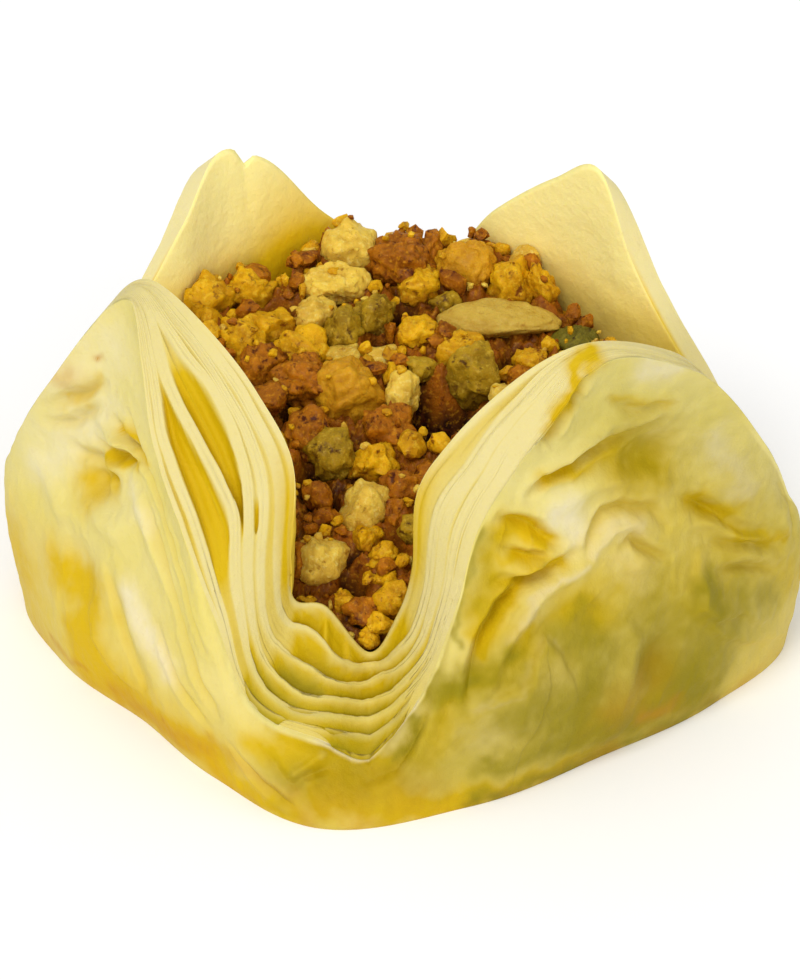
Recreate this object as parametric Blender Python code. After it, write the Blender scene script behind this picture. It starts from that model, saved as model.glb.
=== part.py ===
"""A filo parcel: a square stack of thin pastry sheets folded up round a heap of chopped nuts.

The four corners of the stack stand up as tips, the sides between them sag as four valleys,
and the front valley opens down into a V that shows the cut edges of the sheets.
Tables and functions are in millimetres; MM turns them into metres where a mesh is made.
Angles run round the piece in degrees, from the front (-Y) towards +X.
"""
import bpy
import bmesh
import numpy as np

MM = 0.001
TURN_STEPS = 132          # points round every ring of the parcel
OUTSIDE_ROWS = 13         # rings up the outside
SHEET_RIDGES = 5          # bundles of sheets shown across the cut face
RIDGE_HEIGHT = 0.24
INSIDE_ROWS = 8           # rings down the inside
BASE_SWELL = 0.5          # how far the wall swells beyond the base
TIP_SWELL = 3.0           # more swell under the tips
WAIST_RADIUS = 21.0       # the pinch under each tip
WAIST_WALL = 4.0
CAVITY_RADIUS = 13.0
CAVITY_FLOOR = 4.5
FILLING_GAP = 0.45        # clear space between the nuts and the pastry
HEAP_MIDDLE = 17.3        # height of the heap of nuts at the middle
HEAP_SLOPE = 0.3          # its rise towards the back
HEAP_FALL = 0.02          # its fall into the V, in mm per square mm in front of HEAP_BROW
HEAP_BROW = -4.0
SEED = 7

# The base outline: angle and radius.
BASE = (
    (-12, 28.0), (10, 25.2), (37, 22.9), (62, 24.6), (84, 27.4), (106, 24.6), (130, 22.4), (154, 24.0),
    (173, 26.2), (192, 24.2), (217, 22.4), (241, 25.0), (262, 27.4), (284, 24.8), (308, 22.7), (329, 24.8),
)

# The rim: outer edge and inner edge of the stack of sheets, each as angle, radius and height.
RIM = (
    ((-5, 24.3, 3.1), (-7, 18.6, 8.5)),            # bottom of the V
    ((2.5, 23.7, 7.8), (-1.5, 19.0, 11.6)),        # right side of the V
    ((8.5, 23.6, 14.8), (1.8, 19.5, 16.0)),
    ((12, 23.4, 20.3), (2.5, 19.8, 21.5)),
    ((18, 23.4, 24.6), (9, 20.0, 25.7)),
    ((25, 23.4, 28.0), (22, 20.6, 30.3)),
    ((34, 23.3, 31.2), (32.5, 21.3, 32.0)),        # front right tip
    ((50, 25.2, 29.2), (49, 23.5, 30.3)),
    ((68, 26.8, 20.0), (67, 24.4, 22.4)),
    ((86, 27.5, 9.6), (88, 25.4, 14.0)),           # right valley
    ((101, 22.9, 16.4), (103, 20.4, 18.6)),
    ((114, 20.2, 22.6), (115, 17.8, 25.0)),
    ((127, 18.6, 29.4), (125, 16.8, 31.2)),        # back right tip
    ((143, 18.8, 26.6), (140, 16.8, 28.8)),
    ((158, 20.6, 21.6), (158, 17.9, 24.4)),
    ((173, 25.5, 12.0), (174, 21.2, 17.5)),        # back valley
    ((193, 23.0, 19.5), (196, 20.0, 22.6)),
    ((210, 21.2, 27.0), (212, 18.9, 28.8)),        # back left tip
    ((222, 21.3, 28.4), (222.5, 19.0, 30.4)),
    ((238.5, 20.6, 24.0), (238, 18.4, 26.6)),
    ((249, 23.4, 16.6), (249, 20.8, 20.2)),
    ((263, 27.5, 12.0), (263, 24.3, 17.6)),        # left valley
    ((284, 25.6, 22.0), (285, 22.4, 26.0)),
    ((305, 22.2, 32.4), (307, 20.6, 33.8)),        # front left tip
    ((312, 23.6, 29.8), (320, 20.9, 32.8)),        # left side of the V
    ((318.5, 25.1, 24.7), (333, 21.3, 29.0)),
    ((325, 26.0, 19.9), (340, 21.3, 23.8)),
    ((330.5, 25.8, 13.7), (339.3, 21.3, 17.8)),
    ((336, 25.8, 7.9), (339, 20.8, 13.6)),
    ((347, 24.8, 5.0), (344.5, 19.3, 12.2)),
)

# Folds in the outer skin: height (a crease is negative), half width, and points as angle and height.
FOLDS = (
    (-0.9, 1.2, ((37, 25.3), (29, 23.6), (22, 22.9))),             # front right lobe
    (-0.8, 2.4, ((43, 22.6), (51, 21.0))),
    (0.5, 1.2, ((27, 21.5), (36, 21.9), (42, 20.8))),
    (-0.8, 1.0, ((33, 17.9), (36, 19.5), (40, 20.0), (47, 18.1))),
    (-0.8, 1.2, ((55, 17.7), (63, 15.0), (74, 11.8))),
    (-0.9, 1.0, ((25, 18.9), (17, 21.2))),
    (-0.9, 1.2, ((29, 17.4), (21, 16.2), (15, 15.0), (12, 12.6))),
    (0.7, 1.6, ((35, 15.2), (23, 13.9), (16, 11.8))),
    (-0.5, 1.0, ((56, 13.1), (55, 9.7), (58, 7.8), (73, 4.7))),
    (-1.0, 1.0, ((-60, 21.7), (-50, 21.7))),                       # front left lobe
    (-0.7, 1.0, ((-65, 19.0), (-52, 20.7))),
    (-0.6, 1.0, ((-74, 21.4), (-65, 24.6))),
    (-0.6, 1.2, ((-69, 16.3), (-61, 16.9))),
    (-0.7, 1.1, ((-47, 20.6), (-40, 17.9), (-32, 15.9), (-27, 10.7))),
    (-0.5, 1.2, ((-58, 10.2), (-53, 7.0), (-48, 4.1))),
    (-0.9, 1.4, ((118, 19.0), (130, 20.5), (146, 19.5))),          # back right lobe
    (0.6, 1.5, ((112, 13.0), (128, 15.5), (150, 14.0))),
    (-0.7, 1.2, ((122, 9.0), (138, 11.0), (152, 8.0))),
    (-0.9, 1.4, ((206, 19.5), (218, 20.5), (232, 18.5))),          # back left lobe
    (0.6, 1.5, ((200, 14.0), (220, 15.5), (238, 12.5))),
    (-0.7, 1.2, ((205, 8.0), (222, 10.5), (236, 8.5))),
)

# The nuts that stand out of the heap: x, y, length, depth, height, turn.
NUTS = (
    (-14.0, 9.0, 3.8, 3.2, 3.4, 10),
    (-10.4, 10.6, 4.0, 3.0, 2.8, 50),
    (-3.7, 14.2, 4.4, 3.4, 4.2, 20),
    (-5.2, 11.2, 4.6, 3.6, 3.2, 0),
    (0.0, 13.2, 4.6, 3.6, 4.2, -15),
    (1.2, 11.4, 3.2, 3.0, 3.0, 35),
    (4.4, 12.8, 4.4, 3.4, 4.2, 5),
    (8.4, 11.4, 3.6, 3.2, 3.8, 30),
    (6.9, 7.8, 8.4, 3.6, 2.8, -6),
    (12.2, 6.0, 3.0, 2.6, 2.4, 0),
    (1.1, 6.3, 3.2, 3.0, 2.8, 0),
    (-2.4, 8.0, 3.6, 3.0, 2.8, 25),
    (-6.4, 7.6, 3.4, 3.0, 2.8, 60),
    (-3.6, 1.2, 5.8, 4.8, 5.0, 15),
    (0.0, 1.0, 2.6, 2.6, 3.4, 0),
    (-0.8, -2.6, 3.8, 3.4, 3.6, 70),
    (3.0, 0.8, 4.4, 3.8, 3.8, 40),
    (5.6, 3.2, 4.2, 3.8, 4.4, -20),
    (-9.8, 6.8, 4.0, 3.4, 3.0, 25),
    (-7.4, 2.8, 4.6, 3.8, 3.6, -10),
    (-10.4, 2.4, 3.8, 3.6, 3.6, 45),
    (-5.0, -4.6, 3.6, 3.4, 3.4, 0),
    (-1.8, -6.0, 3.4, 3.2, 3.2, 30),
    (-2.8, -9.2, 3.7, 3.6, 3.6, 0),
    (-5.6, -12.4, 3.4, 4.8, 3.6, -25),
    (-1.6, -12.6, 2.8, 2.4, 2.2, 10),
    (-1.0, -15.0, 2.8, 2.6, 2.4, 0),
    (-2.8, -15.6, 2.6, 2.4, 2.2, 40),
)
HIDDEN_NUTS = 30          # more pieces, placed evenly at random over the heap


def polar(angle, radius, height):
    """x = r sin a, y = -r cos a, z = height, for an angle in degrees."""
    a = np.radians(np.asarray(angle, float))
    radius, height, a = np.broadcast_arrays(radius, height, a)
    return np.stack([radius * np.sin(a), -radius * np.cos(a), height], -1).astype(float)


def angle_of(points):
    return np.degrees(np.arctan2(points[..., 0], -points[..., 1]))


def ease(x):
    x = np.clip(x, 0, 1)
    return x * x * (3 - 2 * x)


def closed_curve(points, knots, at):
    """Cubic Hermite curve through the points and back to the first; each tangent is the
    mean of the two neighbouring slopes, weighted by the length of the other span."""
    span = np.diff(knots)
    slope = (np.roll(points, -1, 0) - points) / span[:, None]
    last_slope, last_span = np.roll(slope, 1, 0), np.roll(span, 1)
    tangent = (span[:, None] * last_slope + last_span[:, None] * slope) / (last_span + span)[:, None]
    at = np.mod(at, 1.0)
    i = np.clip(np.searchsorted(knots, at, side="right") - 1, 0, len(span) - 1)
    j = (i + 1) % len(span)
    h = span[i][:, None]
    t = (at[:, None] - knots[i][:, None]) / h
    start = (2 * t**3 - 3 * t**2 + 1) * points[i] + (t**3 - 2 * t**2 + t) * h * tangent[i]
    return start + (3 * t**2 - 2 * t**3) * points[j] + (t**3 - t**2) * h * tangent[j]


def rim_curves(turn):
    """The outer and the inner rim at the same turns (0 to 1), with shared knots so that
    matching points stay side by side."""
    outer = polar(*np.array([o for o, i in RIM], float).T)
    inner = polar(*np.array([i for o, i in RIM], float).T)
    step = np.roll(outer + inner, -1, 0) - outer - inner
    full, flat = np.linalg.norm(step, axis=1), np.linalg.norm(step[:, :2], axis=1)
    length = full / full.sum() + flat / flat.sum()
    knots = np.concatenate([[0], np.cumsum(length) / length.sum()])
    return closed_curve(outer, knots, turn), closed_curve(inner, knots, turn)


def base_radius(angle):
    table = np.array(BASE, float)
    knots = (np.append(table[:, 0], table[0, 0] + 360) - table[0, 0]) / 360
    ring = closed_curve(polar(table[:, 0], table[:, 1], 0), knots, (angle - table[0, 0]) / 360)
    return np.hypot(ring[:, 0], ring[:, 1])


def bezier(controls, t):
    """Cubic Bezier curves side by side: controls are four rings, t the positions along each."""
    a, b, c, d = (ring[:, None, :] for ring in controls)
    t = t[None, :, None]
    return (1 - t) ** 3 * a + 3 * (1 - t) ** 2 * t * b + 3 * (1 - t) * t**2 * c + t**3 * d


def skin_controls(turn):
    """Control rings of the outer skin, base to rim, and of the inner skin, floor to rim.
    Under a tip the wall swells low down and is pinched at the waist; in a valley it is plain."""
    outer, inner = rim_curves(turn)
    a, lean = angle_of(outer), (angle_of(inner) - angle_of(outer) + 180) % 360 - 180
    ro, zo = np.hypot(outer[:, 0], outer[:, 1]), outer[:, 2]
    ri, zi = np.hypot(inner[:, 0], inner[:, 1]), inner[:, 2]
    foot, tip = base_radius(a), ease((zo - 13) / 15)
    belly = polar(a, foot + BASE_SWELL + TIP_SWELL * tip, 0.26 * zo + 0.2)
    waist = polar(a, (1 - tip) * (ro + 1.6) + tip * WAIST_RADIUS, (0.85 - 0.22 * tip) * zo)
    inner_waist = polar(
        a + lean, (1 - tip) * (ri - 0.3) + tip * (WAIST_RADIUS - WAIST_WALL), (0.7 - 0.1 * tip) * zi)
    inner_belly = polar(a + 0.5 * lean, np.minimum(foot - 4.2, ri + 0.8), np.maximum(5.0, 0.22 * zi))
    floor = polar(a, CAVITY_RADIUS, CAVITY_FLOOR)
    return (polar(a, foot, 0), belly, waist, outer), (floor, inner_belly, inner_waist, inner)


def distance_to_fold(angle, height, points):
    """Distance in mm from each (angle, height) to a polyline, measured on a cylinder of
    radius 25, with the share of the polyline's length at the nearest place."""
    mm_per_degree = np.radians(25.0)
    best, place = np.full(angle.shape, 1e9), np.zeros(angle.shape)
    spans = len(points) - 1
    for k, (start, end) in enumerate(zip(points[:-1], points[1:])):
        dx, dz = (end[0] - start[0]) * mm_per_degree, end[1] - start[1]
        x = ((angle - start[0] + 180) % 360 - 180) * mm_per_degree
        z = height - start[1]
        s = np.clip((x * dx + z * dz) / (dx * dx + dz * dz), 0, 1)
        d = np.hypot(x - s * dx, z - s * dz)
        near = d < best
        best, place = np.where(near, d, best), np.where(near, (k + s) / spans, place)
    return best, place


def fold_relief(points):
    """Height of the folds at each point of the outer skin: a bell across each fold line,
    fading out at both its ends."""
    angle, height = angle_of(points), points[..., 2]
    relief = np.zeros(angle.shape)
    for size, width, line in FOLDS:
        d, place = distance_to_fold(angle, height, line)
        ends = 0.35 + 0.65 * np.sin(np.pi * place)
        relief += size * ends * np.exp(-((d / width) ** 2))
    return relief


def outward(grid):
    """Unit normals of a grid of rings, pointing away from the piece."""
    along = np.roll(grid, -1, 0) - np.roll(grid, 1, 0)
    up = np.gradient(grid, axis=1)
    normal = np.cross(along, up)
    return normal / np.linalg.norm(normal, axis=-1, keepdims=True)


def outside_rings(turn):
    controls, _ = skin_controls(turn)
    rise = np.linspace(0, 1, OUTSIDE_ROWS)
    grid = bezier(controls, rise)
    fade = ease(rise / 0.12) * ease((1 - rise) / 0.12)
    return grid + outward(grid) * (fold_relief(grid) * fade[None, :])[..., None]


def cut_rings(turn):
    """The cut edges of the sheets between the two rims: straight across, lifted by a low
    crown and by one ridge for each bundle of sheets."""
    outer, inner = rim_curves(turn)
    share = np.arange(1, 2 * SHEET_RIDGES) / (2 * SHEET_RIDGES)
    grid = outer[:, None] * (1 - share[None, :, None]) + inner[:, None] * share[None, :, None]
    along = np.roll(outer, -1, 0) - np.roll(outer, 1, 0)
    normal = np.cross(along, inner - outer)
    normal /= np.linalg.norm(normal, axis=1, keepdims=True)
    width = np.linalg.norm(inner - outer, axis=1)
    ridge = np.where(np.arange(len(share)) % 2 == 0, 1.0, -1.0) * RIDGE_HEIGHT
    lift = ridge[None, :] + 0.1 * width[:, None] * np.sin(np.pi * share)[None, :]
    return grid + normal[:, None] * (lift * ease(width / 3.0)[:, None])[..., None]


def inside_rings(turn):
    _, controls = skin_controls(turn)
    return bezier(controls, np.linspace(0, 1, INSIDE_ROWS))[:, ::-1]


def ring_mesh(name, grid, start, end):
    """A closed mesh from a grid of rings (turn, row), with a pole at each end, faces out."""
    count, rows = grid.shape[:2]
    points = np.concatenate([grid.transpose(1, 0, 2).reshape(-1, 3), [start, end]]) * MM
    i = np.arange(count)
    j = (i + 1) % count
    faces = []
    for row in range(rows - 1):
        low, high = row * count, (row + 1) * count
        faces += np.stack([low + i, low + j, high + j, high + i], 1).tolist()
    first, last = rows * count, rows * count + 1
    top = (rows - 1) * count
    faces += np.stack([np.full(count, first), j, i], 1).tolist()
    faces += np.stack([np.full(count, last), top + i, top + j], 1).tolist()
    mesh = bpy.data.meshes.new(name)
    mesh.from_pydata(points.tolist(), [], faces)
    item = bpy.data.objects.new(name, mesh)
    bpy.context.scene.collection.objects.link(item)
    return item


def split_into_triangles(item):
    """Cuts every face along its shorter diagonal and turns all faces outward."""
    work = bmesh.new()
    work.from_mesh(item.data)
    bmesh.ops.triangulate(work, faces=work.faces, quad_method="SHORT_EDGE")
    bmesh.ops.recalc_face_normals(work, faces=work.faces)
    work.to_mesh(item.data)
    work.free()


def make_cup():
    turn = np.arange(TURN_STEPS) / TURN_STEPS
    outside = outside_rings(turn)
    outside[:, 0, 2] = 0.0
    under = outside[:, :1] * [0.5, 0.5, 0]
    inside = inside_rings(turn)
    floor = inside[:, -1:] * [0.5, 0.5, 1]
    grid = np.concatenate([under, outside, cut_rings(turn), inside, floor], axis=1)
    cup = ring_mesh("filo_cup", grid, (0, 0, 0), (0, 0, CAVITY_FLOOR))
    split_into_triangles(cup)
    return cup


def heap_height(y):
    """A slope up to the back that falls away into the V in front of the brow."""
    return HEAP_MIDDLE + HEAP_SLOPE * y - HEAP_FALL * np.maximum(0, HEAP_BROW - y) ** 2


def make_heap():
    """The body of the heap: it follows the inner skin at a small gap up to the level of
    the nuts, then closes over the top."""
    turn = np.arange(56) / 56
    _, controls = skin_controls(turn)
    wall = bezier(controls, np.linspace(0, 1, 41))
    level = np.minimum(heap_height(wall[..., 1]), wall[:, -1:, 2] - 0.8)
    last = np.argmax(wall[..., 2] >= level, axis=1)
    pick = np.round(last[:, None] * np.linspace(0, 1, 6)[None, :]).astype(int)
    side = np.take_along_axis(wall, pick[..., None], axis=1)
    radius = np.hypot(side[..., 0], side[..., 1])
    side[..., :2] *= ((radius - FILLING_GAP - 0.25) / radius)[..., None]
    side[..., 2] += FILLING_GAP * np.linspace(1, 0, 6)
    inward = np.array([0.85, 0.6, 0.3])[None, :, None]
    top = side[:, -1:] * np.concatenate([inward, inward, inward * 0], axis=2)
    surface = heap_height(top[..., 1])
    blend = ease((1 - inward[..., 0]) / 0.4)
    top[..., 2] = side[:, -1:, 2] * (1 - blend) + surface * blend
    grid = np.concatenate([side, top], axis=1)
    floor = CAVITY_FLOOR + FILLING_GAP
    return ring_mesh("nut_filling", grid, (0, 0, floor), (0, 0, HEAP_MIDDLE))


def room_inside(points):
    """The largest radius a nut may reach at each point's angle and height."""
    _, controls = skin_controls(np.arange(180) / 180)
    wall = bezier(controls, np.linspace(0, 1, 31))
    ring = np.argmin(np.abs((angle_of(points)[:, None] - angle_of(wall[:, -1])[None] + 180) % 360 - 180), axis=1)
    rows = wall[ring]
    radius = np.hypot(rows[..., 0], rows[..., 1])
    row = np.argmin(np.abs(rows[..., 2] - points[:, None, 2]), axis=1)
    return radius[np.arange(len(points)), row] - FILLING_GAP - 0.3


def make_nut(name, place, size, turn, rng):
    """A rough chip: a ball of few faces, dented at random, stretched, turned and kept
    clear of the pastry."""
    work = bmesh.new()
    bmesh.ops.create_icosphere(work, subdivisions=1, radius=1.0)
    ball = np.array([v.co for v in work.verts])
    ball *= rng.uniform(0.82, 1.08, (len(ball), 1))
    ball = ball * np.array(size) / 2
    c, s = np.cos(np.radians(turn)), np.sin(np.radians(turn))
    points = ball @ np.array([[c, s, 0], [-s, c, 0], [0, 0, 1]]) + place
    radius = np.hypot(points[:, 0], points[:, 1])
    points[:, :2] *= np.minimum(1, room_inside(points) / radius)[:, None]
    for vertex, point in zip(work.verts, points * MM):
        vertex.co = point
    mesh = bpy.data.meshes.new(name)
    work.to_mesh(mesh)
    work.free()
    return bpy.data.objects.new(name, mesh)


def nut_places(rng):
    """The nuts of the table, then the hidden ones spread over the heap like sunflower seeds."""
    for x, y, length, depth, height, turn in NUTS:
        yield (x, y, heap_height(y) + 0.2 * height), (length, depth, height), turn
    for k in range(HIDDEN_NUTS):
        a, r = k * 137.5, 16.0 * np.sqrt((k + 0.5) / HIDDEN_NUTS)
        x, y, _ = polar(a, r, 0)
        size = rng.uniform(2.6, 3.8, 3)
        yield (x, y, heap_height(y) + 0.4), size, rng.uniform(0, 180)


def largest_body(item):
    """Keeps the largest connected body, which drops scraps and fills sealed hollows."""
    work = bmesh.new()
    work.from_mesh(item.data)
    bmesh.ops.remove_doubles(work, verts=work.verts, dist=0.02 * MM)
    bmesh.ops.dissolve_degenerate(work, edges=work.edges, dist=0.02 * MM)
    bodies, left = [], set(work.verts)
    while left:
        seen, queue = set(), [left.pop()]
        while queue:
            vertex = queue.pop()
            seen.add(vertex)
            near = {e.other_vert(vertex) for e in vertex.link_edges} & left
            left -= near
            queue += near
        bodies.append(seen)
    keep = max(bodies, key=len)
    bmesh.ops.delete(work, geom=[v for v in work.verts if v not in keep], context="VERTS")
    bmesh.ops.triangulate(work, faces=work.faces)
    work.to_mesh(item.data)
    work.free()


def make_filling():
    """One body: the heap with the nuts fused on by a single Boolean union."""
    rng = np.random.default_rng(SEED)
    heap = make_heap()
    split_into_triangles(heap)
    pieces = bpy.data.collections.new("nuts")
    for k, (place, size, turn) in enumerate(nut_places(rng)):
        pieces.objects.link(make_nut(f"nut_{k}", place, size, turn, rng))
    bpy.context.scene.collection.children.link(pieces)
    union = heap.modifiers.new("fuse", "BOOLEAN")
    union.operation, union.operand_type, union.collection = "UNION", "COLLECTION", pieces
    union.solver = "MANIFOLD"
    bpy.context.view_layer.objects.active = heap
    bpy.ops.object.modifier_apply(modifier=union.name)
    for nut in list(pieces.objects):
        bpy.data.objects.remove(nut)
    bpy.data.collections.remove(pieces)
    largest_body(heap)
    return heap


def material(name, colour, roughness):
    item = bpy.data.materials.new(name)
    item.use_nodes = True
    shader = item.node_tree.nodes["Principled BSDF"]
    shader.inputs["Base Color"].default_value = (*colour, 1)
    shader.inputs["Roughness"].default_value = roughness
    shader.inputs["Metallic"].default_value = 0
    return item


def centre(items):
    """Moves the bodies together so that their box is centred on the origin and stands on z = 0."""
    points = np.concatenate([[v.co for v in item.data.vertices] for item in items])
    low, high = points.min(0), points.max(0)
    shift = np.array([(low[0] + high[0]) / 2, (low[1] + high[1]) / 2, low[2]])
    for item in items:
        for vertex in item.data.vertices:
            vertex.co = np.array(vertex.co) - shift


def main():
    for item in list(bpy.data.objects):
        bpy.data.objects.remove(item)
    cup, filling = make_cup(), make_filling()
    centre([cup, filling])
    cup.data.materials.append(material("filo_pastry", (0.72, 0.60, 0.26), 0.45))
    filling.data.materials.append(material("chopped_nuts", (0.42, 0.22, 0.04), 0.55))


main()
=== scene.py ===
"""A filo parcel filled with chopped nuts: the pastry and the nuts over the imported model.

Tables and functions are in millimetres and angles in degrees from the front (-Y) towards +X,
as in the model; CENTRE is the model's own origin in those numbers, and make_mesh turns them
into metres. A "turn" runs from 0 to 1 round the piece and a "share" from 0 at the outermost
sheet to 1 at the innermost.
"""
import math
import bpy
import bmesh
import numpy as np
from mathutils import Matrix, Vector


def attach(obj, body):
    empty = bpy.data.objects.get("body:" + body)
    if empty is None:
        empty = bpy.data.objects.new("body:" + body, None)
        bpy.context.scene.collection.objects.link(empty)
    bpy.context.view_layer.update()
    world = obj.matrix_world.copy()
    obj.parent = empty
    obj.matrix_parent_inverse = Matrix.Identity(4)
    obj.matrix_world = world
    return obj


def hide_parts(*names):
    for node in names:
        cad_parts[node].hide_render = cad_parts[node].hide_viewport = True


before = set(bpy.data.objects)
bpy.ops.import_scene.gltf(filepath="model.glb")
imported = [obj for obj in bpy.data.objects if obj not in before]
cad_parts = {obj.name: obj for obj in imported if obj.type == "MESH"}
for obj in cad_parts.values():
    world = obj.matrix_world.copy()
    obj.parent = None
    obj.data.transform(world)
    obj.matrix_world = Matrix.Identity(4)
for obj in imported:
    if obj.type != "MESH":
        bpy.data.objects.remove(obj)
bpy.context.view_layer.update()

MM = 0.001
CENTRE = np.array([-0.03, -0.58, 0.0])

# The cup: rows of points up the outside and down the inside, the cavity for the nuts, and the
# cylinder on which folds and strokes are measured.
SKIN_ROWS, INSIDE_ROWS = 170, 56
CAVITY_RADIUS, CAVITY_FLOOR = 13.0, 4.5
SKIN_RADIUS = 25.0

# Its walls: one starts to be a tip where its rim is TIP_FROM high, and is one TIP_OVER higher.
# It swells past its foot by BELLY, and by TIP_BELLY more under a tip, at the share BELLY_AT of
# the rim's height. The waist is at the share WAIST_AT, lower under a tip, where it has a
# radius outside and one inside. WALL is the least thickness low down.
TIP_FROM, TIP_OVER = 13, 15
BELLY, TIP_BELLY, BELLY_AT = 0.5, 3.0, 0.26
WAIST_AT, TIP_WAIST_DROP = 0.85, 0.22
TIP_WAIST, INNER_TIP_WAIST = 21.0, 17.0
WALL = 4.2

# The small nick in the crown of the back left flap.
NICK_TURN, NICK_REACH, NICK_DEPTH = 0.6075, 0.0035, 1.0

# The cut face: thin sheets between two crests, columns of points across one sheet, the least
# distance between crests, and how soon a gap reaches its depth beside a crest; then the floor
# of the V, and the two stretches where the thin sheets hardly show.
SHEETS, SAMPLES = 4, 5
CREST_APART, GAP_WALL = 0.15, 0.15
V_TURN, V_REACH = -0.016, 0.036
CALM_TURNS, CALM_REACH = (0.33, 0.66), 0.075

# Folds: width of the cliff at the free edge of a sheet, rounding of a crease's bottom, and the
# height of its lips as a share of its depth.
CLIFF, CREASE_BOTTOM, CREASE_LIP = 0.10, 0.1, 0.3

# The table of the cup's inner wall: degrees between its rows, its lowest height, and the one
# it stops short of. The height map of the heap: half its side, and one cell.
WALL_STEP, WALL_FROM, WALL_TO = 2, 4, 36
MAP_HALF, MAP_CELL = 25, 0.15

# The turn between places strewn evenly, and the noise: its values, and the stride from one to
# the next along x, y and z.
GOLDEN_ANGLE = 137.508
LATTICE_SIZE, LATTICE_STEPS = 4096, (73, 1237, 2689)

# Rings of points: turn, and how many rings lie before it; they are closest in the V.
RINGS = (
    (0.0, 0), (0.12, 230), (0.28, 400), (0.40, 460), (0.62, 550), (0.80, 700), (0.88, 790), (1.0, 1030),
)

# The base outline: angle and radius.
BASE = (
    (-12, 28.0), (10, 25.2), (37, 22.9), (62, 24.6), (84, 27.4), (106, 24.6), (130, 22.4), (154, 24.0),
    (173, 26.2), (192, 24.2), (217, 22.4), (241, 25.0), (262, 27.4), (284, 24.8), (308, 22.7), (329, 24.8),
)

# The rim: outer edge and inner edge of the stack of sheets, each as angle, radius and height.
RIM = (
    ((-5, 24.3, 3.55), (-7, 18.6, 8.5)),           # bottom of the V
    ((2.5, 23.7, 7.8), (-1.5, 19.0, 11.6)),        # right side of the V
    ((8.5, 23.6, 14.8), (1.8, 19.5, 16.0)),
    ((12, 23.4, 20.3), (2.5, 19.8, 21.5)),
    ((18, 23.4, 24.6), (9, 20.0, 25.7)),
    ((25, 23.4, 28.0), (22, 20.6, 30.3)),
    ((34, 23.3, 31.2), (32.5, 21.3, 32.0)),        # front right tip
    ((50, 25.2, 29.2), (49, 23.5, 30.3)),
    ((68, 26.8, 20.0), (67, 24.4, 22.4)),
    ((86, 27.5, 9.6), (88, 25.4, 14.0)),           # right valley
    ((101, 22.9, 16.4), (103, 20.4, 18.6)),
    ((114, 20.2, 22.6), (115, 17.8, 25.0)),
    ((127, 18.6, 29.4), (125, 16.8, 31.2)),        # back right tip
    ((143, 18.8, 26.6), (140, 16.8, 28.8)),
    ((158, 20.6, 21.6), (158, 17.9, 24.4)),
    ((173, 25.5, 12.0), (174, 21.2, 17.5)),        # back valley
    ((193, 23.0, 19.5), (196, 20.0, 22.6)),
    ((210, 21.2, 27.0), (212, 18.9, 28.8)),        # back left tip
    ((222, 21.3, 28.4), (222.5, 19.0, 30.4)),
    ((238.5, 20.6, 24.0), (238, 18.4, 26.6)),
    ((249, 23.4, 16.6), (249, 20.8, 20.2)),
    ((263, 27.5, 12.0), (263, 24.3, 17.6)),        # left valley
    ((284, 25.6, 22.0), (285, 22.4, 26.0)),
    ((305, 22.2, 32.4), (307, 20.6, 33.8)),        # front left tip
    ((312, 23.6, 29.8), (320, 20.9, 32.8)),        # left side of the V
    ((318.5, 25.1, 24.7), (333, 21.3, 29.0)),
    ((325, 26.0, 19.9), (340, 21.3, 23.8)),
    ((330.5, 25.8, 13.7), (339.3, 21.3, 17.8)),
    ((336, 25.8, 7.9), (339, 20.8, 13.6)),
    ((347, 24.8, 5.0), (344.5, 19.3, 12.2)),
)

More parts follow.
